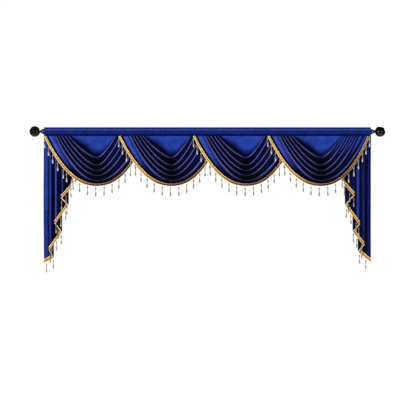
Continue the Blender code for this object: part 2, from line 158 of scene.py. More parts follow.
print("a smooth curve through 0, 1, 0:", through_rows([0, 1, 0], np.linspace(0, 2, 5)).round(3))


# %% Grids to meshes
def grid_faces(rows, columns, around=False):
    """Number the corners of each face of a grid; around joins the last column to the first."""
    index = np.arange(rows * columns).reshape(rows, columns)
    left = index if around else index[:, :-1]
    right = np.roll(index, -1, axis=1) if around else index[:, 1:]
    return np.stack([left[:-1], right[:-1], right[1:], left[1:]], axis=-1).reshape(-1, 4)


def volume_of(points, quads):
    """Signed volume inside closed faces: the sum of a . (b x c) / 6 over their triangles."""
    a, b, c, d = (points[quads[:, corner]] for corner in range(4))
    return (np.sum(a * np.cross(b, c)) + np.sum(a * np.cross(c, d))) / 6


def add_piece(name, points, faces, materials, marks, stands_for=(), slot=None):
    """Make an object from points and faces, give it its marks and put it on the valance."""
    mesh = bpy.data.meshes.new(name)
    mesh.from_pydata(points.reshape(-1, 3).tolist(), [], faces)
    mesh.shade_smooth()
    for key, values in marks.items():
        mark = mesh.attributes.new(key, "FLOAT", "POINT")
        mark.data.foreach_set("value", np.asarray(values, np.float32).ravel())
    for material in materials:
        mesh.materials.append(material)
    piece = bpy.data.objects.new(name, mesh)
    scene.collection.objects.link(piece)
    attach(piece, "root")
    if stands_for:
        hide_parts(*stands_for)
    print(name, len(mesh.vertices), "points", len(mesh.polygons), "faces")
    return piece


def tube_faces(rows, columns, count=1):
    """Faces of count closed tubes of rows rings each, with a cap on both ends of every tube."""
    sides = grid_faces(rows, columns, around=True)
    ring = np.arange(columns)
    starts = np.arange(count) * rows * columns
    walls = (sides[None] + starts[:, None, None]).reshape(-1, 4)
    first = (ring[::-1][None] + starts[:, None]).tolist()
    last = (ring[None] + (rows - 1) * columns + starts[:, None]).tolist()
    return walls, first, last


def add_tubes(name, grid, materials, marks, **rest):
    """Make closed tubes from a grid of (tubes, rings, points round, 3), facing outwards."""
    count, rows, columns = grid.shape[:3]
    points = grid.reshape(-1, 3)
    walls, first, last = tube_faces(rows, columns, count)
    if volume_of(points, walls[:(rows - 1) * columns]) < 0:
        walls = walls[:, ::-1]
        first = [cap[::-1] for cap in first]
        last = [cap[::-1] for cap in last]
    return add_piece(name, points, walls.tolist() + first + last, materials, marks, **rest)


print("a tube of 3 rings and 6 sides has", len(tube_faces(3, 6)[0]) + 2, "faces")

# %% [markdown]
# ## Building finishes from nodes
#
# Every finish starts from the Principled shader, which holds the numbers that are the same all
# over, such as sheen. Whatever changes over the surface comes from nodes. An image could carry a
# pattern too, but nodes stay sharp at any distance and need no file. An effect that several
# finishes share is a node group with named sockets, built once: here the velvet's pile, the twist
# of a cord, and the fine dust that lies on glass and lacquer.


# %% Node helpers
def add_node(tree, kind, settings=(), **inputs):
    """Add a node, set its properties and its inputs; an input may be a value or a socket."""
    node = tree.nodes.new(kind)
    for key, value in dict(settings).items():
        setattr(node, key, value)
    for key, value in inputs.items():
        socket = node.inputs[int(key[1:])] if key[0] == "_" else node.inputs[key.replace("_", " ")]
        if isinstance(value, bpy.types.NodeSocket):
            tree.links.new(value, socket)
        else:
            socket.default_value = value
    return node


def calculate(tree, operation, first, second=0.0, third=0.0):
    """One Math node: its result as a socket."""
    kind = {"operation": operation}
    return add_node(tree, "ShaderNodeMath", kind, _0=first, _1=second, _2=third).outputs[0]


def blend(tree, share, first, second, kind="MIX"):
    """One Mix Color node: first where share is 0, second where it is 1."""
    node = add_node(tree, "ShaderNodeMix", {"data_type": "RGBA", "blend_type": kind},
                    _0=share, _6=first, _7=second)
    return node.outputs[2]


def new_group(name, inputs, outputs):
    """Start a node group. inputs and outputs are (name, kind, default or None)."""
    group = bpy.data.node_groups.new(name, "ShaderNodeTree")
    for way, sockets in (("INPUT", inputs), ("OUTPUT", outputs)):
        for label, kind, default in sockets:
            socket = group.interface.new_socket(label, in_out=way, socket_type=kind)
            if default is not None:
                socket.default_value = default
    entry = group.nodes.new("NodeGroupInput")
    leave = group.nodes.new("NodeGroupOutput")
    return group, entry.outputs, leave.inputs


def use_group(tree, group, **inputs):
    """Place a group in a tree and give its inputs their values."""
    return add_node(tree, "ShaderNodeGroup", {"node_tree": group}, **inputs).outputs


def new_finish(name, **numbers):
    """Start a material: return it, its node tree and its Principled shader, with numbers set."""
    material = bpy.data.materials.new(name)
    material.use_nodes = True
    shader = material.node_tree.nodes["Principled BSDF"]
    for key, value in numbers.items():
        shader.inputs[key.replace("_", " ")].default_value = value
    return material, material.node_tree, shader


def marks_of(tree, *names):
    """Sockets that read the named marks of a surface."""
    return [add_node(tree, "ShaderNodeAttribute", {"attribute_name": name}).outputs["Fac"]
            for name in names]


FLOAT, COLOUR = "NodeSocketFloat", "NodeSocketColor"
print("helpers ready")

# %% [markdown]
# ## Velvet
#
# Velvet is a ground cloth with a short dense pile of upright fibres. Looked at end on, the pile
# swallows light. Where the cloth bends over a fold the fibres fan out and show their bright sides,
# and where it was handled they lie over in soft patches. Real fibres would be millions of hairs,
# so the light and shade of the folds are painted into the colour instead. Each velvet surface has
# two marks. One is painted light and shade: near black in the troughs, lit on the crests and flat
# tops. The other, edge, is a painted highlight of pale fibre tips along the crests. The group below
# goes from deep through half lit to lit as the painted light rises. It varies that light with
# handled patches and the grain of the pile, and gives a height for the bump. The glow at grazing
# angles is the shader's own sheen.

# %% Pile group: painted light and shade, with the pile's grain
HALF_LIT_AT = 0.45                # the painted light at which the pile has its half lit colour
SPECKLE = 0.30                  # how much the grain of the pile varies the painted light

pile, pile_in, pile_out = new_group(
    "pile",
    [("Lit", COLOUR, (0.05, 0.1, 0.5, 1.0)), ("Half Lit", COLOUR, (0.01, 0.02, 0.2, 1.0)),
     ("Deep", COLOUR, (0.0, 0.0, 0.02, 1.0)), ("Tip", COLOUR, (0.1, 0.12, 0.4, 1.0)),
     ("Nap", FLOAT, 0.5), ("Edge", FLOAT, 0.0), ("Crush", FLOAT, 0.3),
     ("Grain Scale", FLOAT, 1400.0)],
    [("Color", COLOUR, None), ("Height", FLOAT, None)])
place = add_node(pile, "ShaderNodeTexCoord").outputs["Object"]
patches = add_node(pile, "ShaderNodeTexNoise", Vector=place, Scale=14.0, Detail=3.0,
                   Roughness=0.55, Distortion=0.6).outputs["Fac"]
grain = add_node(pile, "ShaderNodeTexNoise", Vector=place, Scale=pile_in["Grain Scale"],
                 Detail=2.0).outputs["Fac"]
handled = calculate(pile, "MULTIPLY", calculate(pile, "SUBTRACT", patches, 0.5), pile_in["Crush"])
speckle = calculate(pile, "MULTIPLY", calculate(pile, "SUBTRACT", grain, 0.5), SPECKLE)
uneven = calculate(pile, "ADD", calculate(pile, "ADD", handled, speckle), 1.0)
share = calculate(pile, "MULTIPLY", pile_in["Nap"], uneven)
lower = add_node(pile, "ShaderNodeMapRange", Value=share, From_Max=HALF_LIT_AT).outputs[0]
upper = add_node(pile, "ShaderNodeMapRange", Value=share, From_Min=HALF_LIT_AT).outputs[0]
body = blend(pile, lower, pile_in["Deep"], pile_in["Half Lit"])
body = blend(pile, upper, body, pile_in["Lit"])
pile.links.new(blend(pile, pile_in["Edge"], body, pile_in["Tip"]), pile_out["Color"])
pile.links.new(calculate(pile, "MULTIPLY_ADD", patches, 0.5, grain), pile_out["Height"])
print("pile group", [socket.name for socket in pile.interface.items_tree])

# %% Velvet and its back
# Four colours of one blue for painted light and shade: Deep is the painted shade of the troughs,
# Half_Lit and Lit the painted light, and the last the painted highlight of the fibre tips.
ROYAL_BLUE = {"Lit": (0.020, 0.051, 0.335, 1.0), "Half_Lit": (0.0050, 0.0150, 0.138, 1.0),
              "Deep": (0.0001, 0.0001, 0.0015, 1.0), "Tip": (0.125, 0.130, 0.400, 1.0)}
FLAT_BLUE = {"Lit": (0.008, 0.013, 0.075, 1.0), "Half_Lit": (0.005, 0.008, 0.042, 1.0),
             "Deep": (0.002, 0.003, 0.016, 1.0), "Tip": (0.010, 0.015, 0.085, 1.0)}
BLUE_GLOW = (0.12, 0.22, 1.0, 1.0)    # tint of the sheen


def velvet_finish(name, colours, crush, sheen):
    """A velvet: Principled with blue sheen, its painted light, shade and bump from the pile group.
    """
    material, tree, shader = new_finish(
        name, Roughness=0.95, Specular_IOR_Level=0.04, Sheen_Weight=sheen, Sheen_Roughness=0.35,
        Sheen_Tint=BLUE_GLOW)
    nap, edge = marks_of(tree, "nap", "edge")
    made = use_group(tree, pile, **colours, Nap=nap, Edge=edge, Crush=crush)
    bump = add_node(tree, "ShaderNodeBump", Strength=0.25, Distance=0.0008,
                    Height=made["Height"])
    tree.links.new(made["Color"], shader.inputs["Base Color"])
    tree.links.new(bump.outputs[0], shader.inputs["Normal"])
    return material


velvet = velvet_finish("royal blue velvet", ROYAL_BLUE, crush=0.9, sheen=0.05)
velvet_back = velvet_finish("velvet back", FLAT_BLUE, crush=0.4, sheen=0.02)
print("velvet lit", ROYAL_BLUE["Lit"][:3], "deep", ROYAL_BLUE["Deep"][:3])

# %% [markdown]
# ## Gold braid and cord
#
# The braid is a flat gimp: a shiny cord runs along either edge and a row of small ochre knots
# between them. Its surface carries two marks, how far along the hem a point lies and how far
# across the braid, so the pattern follows every bend, which a pattern fixed in space would not.
# A twisted cord is a slanted wave of light and dark strands, which the twist group works out once
# for the cords and for the fringe's tape.
#
# Gold yarn is also two-toned: it looks pale where its twist faces the lamp and dark red-brown
# where it turns away. That light and shade is painted. It depends on which way the hem slopes, so
# the strip below brings a third mark, bright, the painted light of the yarn. The colour is
# multiplied by a painted tint that goes from garnet in shade over rose to pale gold in light.

# %% Twist group
twist, twist_in, twist_out = new_group(
    "twist",
    [("Along", FLOAT, 0.0), ("Across", FLOAT, 0.0), ("Pitch", FLOAT, 0.004),
     ("Slant", FLOAT, 1.0)],
    [("Strand", FLOAT, None)])
turns = calculate(twist, "DIVIDE", twist_in["Along"], twist_in["Pitch"])
turns = calculate(twist, "MULTIPLY_ADD", twist_in["Across"], twist_in["Slant"], turns)
wave = calculate(twist, "SINE", calculate(twist, "MULTIPLY", turns, 2 * pi))
twist.links.new(calculate(twist, "MULTIPLY_ADD", wave, 0.5, 0.5), twist_out["Strand"])
print("twist group", [socket.name for socket in twist.interface.items_tree])

# %% Pattern of the braid
BRAID_EDGE = 0.56               # share of the half width where the edge cords begin
KNOT_PITCH = 0.011              # from one knot of the braid to the next
CORD_PITCH, CORD_SLANT = 0.0045, 1.6
OCHRE_GAP, OCHRE_KNOT = (0.10, 0.050, 0.004, 1.0), (0.42, 0.24, 0.022, 1.0)
GOLD_GROOVE, GOLD_STRAND = (0.66, 0.38, 0.090, 1.0), (1.00, 0.76, 0.30, 1.0)

braid_gold, tree, shader = new_finish(
    "gold braid", Specular_IOR_Level=0.18, Sheen_Weight=0.08, Sheen_Roughness=0.4,
    Sheen_Tint=(1.0, 0.86, 0.6, 1.0))
along, across, bright = marks_of(tree, "along", "across", "bright")
strand = use_group(tree, twist, Along=along, Across=across, Pitch=CORD_PITCH,
                   Slant=CORD_SLANT)["Strand"]
cord = add_node(tree, "ShaderNodeMapRange", {"interpolation_type": "SMOOTHSTEP"},
                Value=calculate(tree, "ABSOLUTE", across), From_Min=BRAID_EDGE - 0.12,
                From_Max=BRAID_EDGE + 0.05).outputs[0]
knot = calculate(tree, "SINE", calculate(tree, "MULTIPLY", along, 2 * pi / KNOT_PITCH))
knot = calculate(tree, "MULTIPLY_ADD", knot, 0.5, 0.5)
pattern = blend(tree, cord, blend(tree, knot, OCHRE_GAP, OCHRE_KNOT),
                blend(tree, strand, GOLD_GROOVE, GOLD_STRAND))
bump = add_node(tree, "ShaderNodeBump", Strength=0.6, Distance=0.0006, Height=strand)
tree.links.new(bump.outputs[0], shader.inputs["Normal"])
print("braid with knots every", KNOT_PITCH * 1000, "mm")

# %% Painted light, wear and gloss of the braid
# Painted light and shade of the yarn: garnet in painted shade, over rose, to pale gold in painted
# light.
GARNET, ROSE = (0.09, 0.003, 0.006, 1.0), (0.85, 0.20, 0.30, 1.0)
PALE_GOLD = (1.22, 1.22, 1.20, 1.0)
UPPER_BRIGHTER = 0.20           # painted light that the braid's upper edge gains, and its hem side loses
PALE_SOONER = 1.25              # above 1 the pale gold is reached before bright is 1
DULL, GLOSS_GAIN = 0.70, 0.22   # roughness of dark yarn, and how much less it is where it shines

# The upper edge painted lighter, then the painted tint by the painted light of the yarn.
lit = calculate(tree, "MULTIPLY_ADD", across, UPPER_BRIGHTER, bright)
painted_tint = blend(tree, lit, GARNET, ROSE)
painted_tint = blend(tree, calculate(tree, "MULTIPLY", lit, PALE_SOONER), painted_tint, PALE_GOLD)
tinted = add_node(tree, "ShaderNodeVectorMath", {"operation": "MULTIPLY"}, _0=pattern,
                  _1=painted_tint).outputs[0]
worn = add_node(tree, "ShaderNodeTexNoise", Scale=55.0, Detail=2.0,
                Vector=add_node(tree, "ShaderNodeTexCoord").outputs["Object"]).outputs["Fac"]
shade = add_node(tree, "ShaderNodeMapRange", Value=worn, From_Min=0.3, From_Max=0.7,
                 To_Min=0.80, To_Max=1.12).outputs[0]
colour = add_node(tree, "ShaderNodeVectorMath", {"operation": "SCALE"}, _0=tinted,
                  Scale=shade).outputs[0]
tree.links.new(colour, shader.inputs["Base Color"])
tree.links.new(calculate(tree, "MULTIPLY_ADD", bright, -GLOSS_GAIN, DULL),
               shader.inputs["Roughness"])
print("braid roughness from", DULL, "to", round(DULL - GLOSS_GAIN, 2))

# %% Tape of the fringe, a ribbed ribbon in the colour of straw
RIB_PITCH, RIB_SLANT = 0.002, 0.5
STRAW_DARK, STRAW_PALE = (0.60, 0.40, 0.24, 1.0), (0.90, 0.72, 0.50, 1.0)

tape_finish, tree, shader = new_finish("fringe tape", Roughness=0.65, Sheen_Weight=0.2)
along, across = marks_of(tree, "along", "across")
rib = use_group(tree, twist, Along=along, Across=across, Pitch=RIB_PITCH,
                Slant=RIB_SLANT)["Strand"]
tree.links.new(blend(tree, rib, STRAW_DARK, STRAW_PALE), shader.inputs["Base Color"])
print("tape with ribs every", RIB_PITCH * 1000, "mm")

# %% [markdown]
# ## Glass beads and black lacquer
#
# The strands are champagne glass beads on thread. Such a bead shows what is behind it: over white
# paper it looks honey coloured, over the blue cloth it turns silvery, and its lower end shines
# most. Clear glass could do that by itself, but beads this small would only flicker. So the finish
# paints it from two marks. Down runs from 0 at the tape to 1 at a strand's end, where a painted
# highlight is brightest. Over is 1 for a strand that hangs in front of cloth as seen from the room,
# and gives it a painted silver reflection.
#
# The pole is sprayed with black lacquer, which is almost a mirror under a thin film of dust. Its
# steel mark is a painted highlight: a small spot on the front of each collar turns to polished
# steel there.

# %% Dust group
dust, dust_in, dust_out = new_group(
    "dust",
    [("Clean", COLOUR, (0.0, 0.0, 0.0, 1.0)), ("Dust Colour", COLOUR, (0.5, 0.48, 0.45, 1.0)),
     ("Amount", FLOAT, 0.05), ("Scale", FLOAT, 60.0)],
    [("Color", COLOUR, None), ("Film", FLOAT, None)])
specks = add_node(dust, "ShaderNodeTexNoise", Scale=dust_in["Scale"], Detail=4.0,
                  Vector=add_node(dust, "ShaderNodeTexCoord").outputs["Object"]).outputs["Fac"]
film = calculate(dust, "MULTIPLY", specks, dust_in["Amount"])
dust.links.new(blend(dust, film, dust_in["Clean"], dust_in["Dust Colour"]), dust_out["Color"])
dust.links.new(film, dust_out["Film"])
print("dust group", [socket.name for socket in dust.interface.items_tree])

# %% Glass
# Painted colours: honey over paper and a painted silver reflection over cloth, both lightening
# towards a painted highlight at the strand's end.
HONEY_TOP, HONEY_END = (0.09, 0.085, 0.012, 1.0), (0.18, 0.174, 0.045, 1.0)
SILVER_TOP, SILVER_END = (0.22, 0.205, 0.215, 1.0), (0.62, 0.630, 0.700, 1.0)
LATE = 4.0                      # power that keeps the painted highlight for the strand's last beads

glass, tree, shader = new_finish(
    "champagne glass beads", Roughness=0.36, Specular_IOR_Level=0.22,
    Specular_Tint=(1.0, 0.92, 0.5, 1.0))
down, over = marks_of(tree, "down", "over")
on_paper = blend(tree, down, HONEY_TOP, HONEY_END)
on_cloth = blend(tree, calculate(tree, "POWER", down, LATE), SILVER_TOP, SILVER_END)
made = use_group(tree, dust, Clean=blend(tree, over, on_paper, on_cloth), Amount=0.12, Scale=300.0)
tree.links.new(made["Color"], shader.inputs["Base Color"])
print("glass from", SILVER_TOP[:3], "to", SILVER_END[:3], "in front of cloth")

# %% Lacquer
BLACK, POLISHED = (0.002, 0.002, 0.0025, 1.0), (0.55, 0.57, 0.62, 1.0)
MIRROR, STEEL_DULLER, FILM_DULLER = 0.10, 0.24, 2.0    # roughness, and what steel and dust add

lacquer, tree, shader = new_finish("black lacquer", Specular_IOR_Level=0.3, IOR=1.3)
# The steel mark is a painted highlight on the collars, made of polished steel.
steel_and_painted_glint, = marks_of(tree, "steel_and_painted_glint")
made = use_group(tree, dust, Clean=blend(tree, steel_and_painted_glint, BLACK, POLISHED), Amount=0.012, Scale=45.0)
rough = calculate(tree, "MULTIPLY_ADD", made["Film"], FILM_DULLER,
                  calculate(tree, "MULTIPLY_ADD", steel_and_painted_glint, STEEL_DULLER, MIRROR))
tree.links.new(made["Color"], shader.inputs["Base Color"])
tree.links.new(steel_and_painted_glint, shader.inputs["Metallic"])
tree.links.new(rough, shader.inputs["Roughness"])
print("finishes", [material.name for material in (braid_gold, tape_finish, glass, lacquer)])

# %% [markdown]
# ## The pole and its ends
#
# The pole and its ends are turned on a lathe. In Blender a Screw or Spin would do, but a formula
# also gives each point its marks: a turned piece is a profile of distances along the axis and
# radii, carried round the axis. The pole is plain. Each end has a collar that tapers to a thin
# neck, and a ball. A small spot on the front of each collar is a painted highlight: the steel mark
# turns the black there to polished steel, so that spot shines.

# %% Turned pieces
ROD_RADIUS, ROD_END = 0.019, 1.4862
COLLAR_START, COLLAR_RING, COLLAR_END, COLLAR_RADIUS = 1.4865, 1.492, 1.520, 0.0255
TAPER_BEND = 1.2                # above 1 the collar's taper bulges, at 1 it is a straight cone
NECK_RADIUS, BALL_RADIUS, BALL_X = 0.0105, 0.0485, 1.5695
BEVEL = 0.0012                  # the small rounding of turned edges
TIP = 0.0002                    # the radius at which a turned piece is closed by a flat cap
TURNED_SIDES = 64


def turned(profile, sides):
    """Carry (x, radius) pairs round the X axis: y is radius cos a and z is radius sin a."""
    x, radius = (np.array(profile, float)[:, column][:, None] for column in (0, 1))
    angle = np.arange(sides)[None, :] * 2 * pi / sides
    return np.stack([x + 0 * angle, radius * np.cos(angle), radius * np.sin(angle)], axis=-1)


def arc(centre_x, centre_r, radius, start, end, steps):
    """Pairs on a circle: x is centre plus radius cos a, the radius likewise with sin a."""
    angle = np.linspace(start, end, steps)
    return np.stack([centre_x + radius * np.cos(angle), centre_r + radius * np.sin(angle)], -1)


rod_half = np.concatenate([arc(ROD_END - BEVEL, ROD_RADIUS - BEVEL, BEVEL, pi / 2, 0.0, 4),
                           [[ROD_END, TIP]]])
rod_profile = np.concatenate([(rod_half * (-1, 1))[::-1], rod_half])
add_tubes("pole", turned(rod_profile, TURNED_SIDES)[None], [lacquer], {}, stands_for=["rod"],
          slot="black_lacquer")

# %% Ends of the pole
STEEL_X, STEEL_HALF, STEEL_FADE = 1.500, 0.008, 0.004    # the painted steel highlight along the collar
STEEL_MOST, STEEL_NARROW = 0.35, 20    # how much steel the painted highlight shows, and the power that keeps it in front

neck_angle = pi - np.arcsin(NECK_RADIUS / BALL_RADIUS)
taper = np.linspace(0.0, 1.0, 16)
finial_profile = np.concatenate([
    [[COLLAR_START, TIP], [COLLAR_START, COLLAR_RADIUS - BEVEL]],
    arc(COLLAR_START + BEVEL, COLLAR_RADIUS - BEVEL, BEVEL, 0.9 * pi, pi / 2, 4),
    np.stack([COLLAR_RING + taper * (COLLAR_END - COLLAR_RING),
              COLLAR_RADIUS - taper ** TAPER_BEND * (COLLAR_RADIUS - NECK_RADIUS)], -1),
    arc(BALL_X, 0.0, BALL_RADIUS, neck_angle, 0.004, 40)])
on_collar = smooth_step((STEEL_HALF - np.abs(finial_profile[:, 0] - STEEL_X)) / STEEL_FADE)
# A painted highlight: steel only on the front of each collar, the side that faces the room.
for side, way in (("left", -1), ("right", 1)):
    surface = turned(finial_profile * (way, 1), TURNED_SIDES)[None]
    front = np.clip(-surface[..., 1] / np.maximum(finial_profile[:, 1:], TIP), 0, 1)
    add_tubes(f"pole_end_{side}", surface, [lacquer],
              {"steel_and_painted_glint": STEEL_MOST * on_collar[None, :, None] * front ** STEEL_NARROW},
              stands_for=[f"finial_{side}"], slot="black_lacquer")

# %% [markdown]
# ## The heading
#
# The heading is one strip of velvet folded over the pole: a narrow upright frill, a line of
# stitches, the pocket that the pole fills, and the thick lower seam that takes in the swags and
# tails. A strip bent round the pole could be simulated, but a sewn pocket has a set shape, so its
# cross-section is drawn as two closed paths in Y and Z, one round the cloth and one round the
# pocket. Carried along X, the outer one puckers a little at both lines of stitches, as sewn pile
# does.

# %% Cross-section of the heading
CLOTH = 0.0016                  # thickness of the velvet
HEAD_HALF, HEAD_TOP = 1.485, 0.0385
POCKET_RADIUS = 0.0193          # inside of the pocket
SEAM_Z, SEAM_TOP_Z = -0.0410, -0.0350
SEAM_FRONT_Y, SEAM_BACK_Y = -0.0175, 0.0215
POCKET_APEX_Z = -0.0300         # where the pocket ends in a point, at the seam
RIM = 0.0015                    # the small rounding of the seam's corners
HEAD_RING = 150                 # points round the cross-section
outer_radius = POCKET_RADIUS + CLOTH


def touch(radius, y, z, side):
    """Angle on a circle about the pole's axis where the line from (y, z) touches it."""
    return atan2(z, y) + side * acos(radius / hypot(y, z))


def ring(radius, start, end, steps):
    """(y, z) pairs on a circle about the pole's axis."""
    angle = np.linspace(start, end, steps)
    return np.stack([radius * np.cos(angle), radius * np.sin(angle)], axis=-1)


def evenly(path, count):
    """Place count points at equal steps along a closed path of (y, z) corners."""
    loop = np.concatenate([path, path[:1]])
    length = np.concatenate([[0.0], np.cumsum(np.hypot(*np.diff(loop, axis=0).T))])
    stops = np.arange(count) * length[-1] / count
    return np.stack([np.interp(stops, length, loop[:, axis]) for axis in (0, 1)], axis=-1)


foot = acos(CLOTH / outer_radius)
front_touch = touch(outer_radius, SEAM_FRONT_Y, SEAM_TOP_Z, -1) + 2 * pi
back_touch = touch(outer_radius, SEAM_BACK_Y, SEAM_TOP_Z, 1)
apex_touch = touch(POCKET_RADIUS, 0.0, POCKET_APEX_Z, 1)
seam_corners = np.array([[SEAM_FRONT_Y, SEAM_TOP_Z], [SEAM_FRONT_Y, SEAM_Z + RIM],
                         [SEAM_FRONT_Y + RIM, SEAM_Z], [SEAM_BACK_Y - RIM, SEAM_Z],
                         [SEAM_BACK_Y, SEAM_Z + RIM], [SEAM_BACK_Y, SEAM_TOP_Z]])
outline = np.concatenate([
    ring(CLOTH, 0.0, pi, 7) + (0.0, HEAD_TOP - CLOTH),
    ring(outer_radius, pi - foot, front_touch, 40), seam_corners,
    ring(outer_radius, back_touch, foot, 36)])
outline = evenly(outline, HEAD_RING)
inside = np.concatenate([ring(POCKET_RADIUS, pi / 2, pi - apex_touch, 40), [[0.0, POCKET_APEX_Z]],
                         ring(POCKET_RADIUS, apex_touch, pi / 2, 41)[:-1]])
inside = evenly(inside, HEAD_RING)
print("round the heading", round(float(np.hypot(*np.diff(outline, axis=0).T).sum()), 3), "m")


# %% Puckers of the heading
HEAD_STEPS = 520                # rings of points along the heading
STITCH_Z = 0.0200               # height of the stitches under the frill
PUCKER, SINK, FRILL = 0.0009, 0.0008, 0.0012    # heights of the puckers, dents and waves


def waves(x, lengths, starts):
    """Mean of sine waves of unlike lengths along x: an uneven ripple between -1 and 1."""
    return sum(np.sin(2 * pi * x / length + start)
               for length, start in zip(lengths, starts)) / len(lengths)


def near(height, reach):
    """A bell at a height of the heading: exp of minus ((z - height) / reach) squared."""
    return np.exp(-((flat_z - height) / reach) ** 2)


x = np.linspace(-HEAD_HALF, HEAD_HALF, HEAD_STEPS)[:, None]
flat_y, flat_z = outline[None, :, 0], outline[None, :, 1]
out_y = np.gradient(outline[:, 1])
out_z = -np.gradient(outline[:, 0])
out_size = np.hypot(out_y, out_z)
out_y, out_z = -(out_y / out_size)[None], -(out_z / out_size)[None]
ripple = (near(STITCH_Z, 0.006) * waves(x, (0.031, 0.047, 0.018), (0.0, 1.0, 2.0))
          + near(SEAM_TOP_Z, 0.008) * waves(x, (0.040, 0.026, 0.015), (2.0, 0.3, 1.1)))
push = PUCKER * ripple - SINK * near(STITCH_Z, 0.0016)
frill = FRILL * smooth_step((flat_z - 0.022) / 0.014) * waves(x, (0.21, 0.13, 0.34),
                                                             (0.5, 1.9, 4.0))
outer = np.stack([x + 0 * flat_z, flat_y + push * out_y + frill, flat_z + push * out_z], axis=-1)
print("puckers and dents from", round(float(push.min()) * 1000, 2), "to",
      round(float(push.max()) * 1000, 2), "mm")

# %% Heading surface: the outer wall, the pocket's wall and a face that joins them at either end
inner_ends = np.stack(np.broadcast_arrays(x[[0, -1]], inside[:, 0], inside[:, 1]), axis=-1)
points = np.concatenate([outer.reshape(-1, 3), inner_ends.reshape(-1, 3)])
around_faces = grid_faces(HEAD_STEPS, HEAD_RING, around=True)
inner_start, last_ring = HEAD_STEPS * HEAD_RING, (HEAD_STEPS - 1) * HEAD_RING
hole_faces = grid_faces(2, HEAD_RING, around=True)[:, ::-1] + inner_start
here = np.arange(HEAD_RING)
beside = np.roll(here, -1)
start_cap = np.stack([here, beside, beside + inner_start, here + inner_start], axis=-1)
end_cap = np.stack([beside + last_ring, here + last_ring, here + inner_start + HEAD_RING,
                    beside + inner_start + HEAD_RING], axis=-1)
faces = np.concatenate([around_faces, hole_faces, start_cap[:, ::-1], end_cap[:, ::-1]])
if volume_of(points, faces) < 0:
    faces = faces[:, ::-1]
print("heading of", len(faces), "faces")

# %% Painted light and shade of the heading
# Painted light and shade by height: a lit band on the upper pocket, and painted shade on the frill
# above it and growing towards the seam below.
PAINTED_LIGHT_AT = ((-0.041, 0.02), (-0.034, 0.08), (-0.026, 0.20), (-0.012, 0.37), (0.000, 0.37),
          (0.008, 0.46), (0.011, 1.00), (0.0240, 1.00), (0.0270, 0.02), (0.0385, 0.00))
RIPPLE_LIGHT, FRILL_EDGE, POCKET_LIGHT = 0.15, 0.22, 0.1    # painted light at puckers, painted tip highlight, pocket's painted light

mark_z, mark_light = np.array(PAINTED_LIGHT_AT).T    # heights, and how open the pile stands at each
head_painted_light = np.interp(flat_z, mark_z, mark_light) * (1 + RIPPLE_LIGHT * ripple)
# A painted highlight of fibre tips along the upper pocket.
head_edge = FRILL_EDGE * band(flat_z, 0.010, 0.0265, 0.006, 0.004) * np.ones_like(head_painted_light)
head_painted_light = np.concatenate([head_painted_light.ravel(), np.full(2 * HEAD_RING, POCKET_LIGHT)])
head_edge = np.concatenate([head_edge.ravel(), np.zeros(2 * HEAD_RING)])
heading = add_piece("heading_band", points, faces.tolist(), [velvet],
                    {"nap": head_painted_light, "edge": head_edge}, stands_for=["heading"],
                    slot="velvet")

# %% [markdown]
# ## The swags
#
# A swag is cut as a wide trapezoid and its two sides are pleated up into the seam, so that the
# cloth between them falls in curved folds below a smooth panel. Dropping a simulated sheet gives
# folds too, but never the same ones, and the swags of such a valance match. So the table names
# each line of the cloth that runs from seam to seam: where it meets the seam, how low it hangs at
# mid-swag and how far it stands out. A smooth curve through its rows gives every line between
# them. At the right side more pleats were taken up, so there a second, finer ripple lies between
# the main folds. Each swag's right end lies under its neighbour, but the last one's is free and
# fans out.

# %% Lines of a swag
SWAG_LINES = (
    # line, left, right: half widths, drop, forward
    ("seam", 0.2000, 0.1600, 0.0000, 0.0000),
    ("panel shoulder", 0.2100, 0.1650, 0.0500, 0.0080),
    ("panel belly", 0.2200, 0.1700, 0.1020, 0.0130),
    ("panel foot", 0.2330, 0.1730, 0.1480, 0.0000),
    ("fold 1", 0.2480, 0.1800, 0.1940, 0.0180),
    ("valley 1", 0.2630, 0.2000, 0.2310, -0.0030),
    ("fold 2", 0.2770, 0.2220, 0.2640, 0.0200),
    ("valley 2", 0.2940, 0.2500, 0.2900, -0.0030),
    ("fold 3", 0.3110, 0.2770, 0.3140, 0.0200),
    ("valley 3", 0.3250, 0.3000, 0.3370, -0.0030),
    ("fold 4", 0.3390, 0.3230, 0.3590, 0.0200),
    ("valley 4", 0.3520, 0.3560, 0.3830, -0.0030),
    ("fold 5", 0.3650, 0.4050, 0.4040, 0.0170),
    ("braid line", 0.4480, 0.4410, 0.4325, 0.0000),
    ("hem", 0.4700, 0.4630, 0.4525, 0.0000),
)
HALF, DROP = SWAG_LINES[-1][1], SWAG_LINES[-1][3]
BRAID_LINE, HEM_LINE = 13, 14   # numbers of the last two lines, counted from 0
SWAG_X = [-1.0154 + 0.6774 * number for number in range(4)]    # middles of the four swags
print("swags hang", DROP, "m below the seam, centres", np.round(SWAG_X, 3).tolist())

# %% Hang of a swag
SHARP, ROUND = 1.45, 2.30       # powers of the curves: 1 is a V, 2 a rounded U
ROUNDING = 0.16                 # share of the half width over which the middle is rounded
SKEW = 0.018                    # how far to the right of the middle the folds hang lowest
HEM_STRAIGHTER = 0.45           # the share of that which the hem is spared
OPEN_WIDER = 0.020              # how much further out the folds lie at an uncovered right end
OPEN_TIGHTER = 0.006            # how much tighter the hem is drawn there
SEAM_GAP = 0.0004               # from the seam down to the cloth that hangs from it
SWAG_Y, SEAM_LEAN = -0.0070, 0.0055    # the cloth's place under the seam, and its slant there
LAP, TILT = 0.022, 0.011        # how far a covered right end goes back, and a left one forward
BELLY, FINER = 0.026, 0.0042    # bulge of the whole swag, and height of the finer gathers
PRESSED_FOLD, PRESSED_FINER = 0.30, 0.5    # share of their height that folds have at the seam
FOLD_OPEN, LEAN_OPEN = 0.15, 0.110    # how far below the seam folds and lean are complete
HEM_TUCK = 0.010                # how far the hem tucks back under the braid at mid-swag


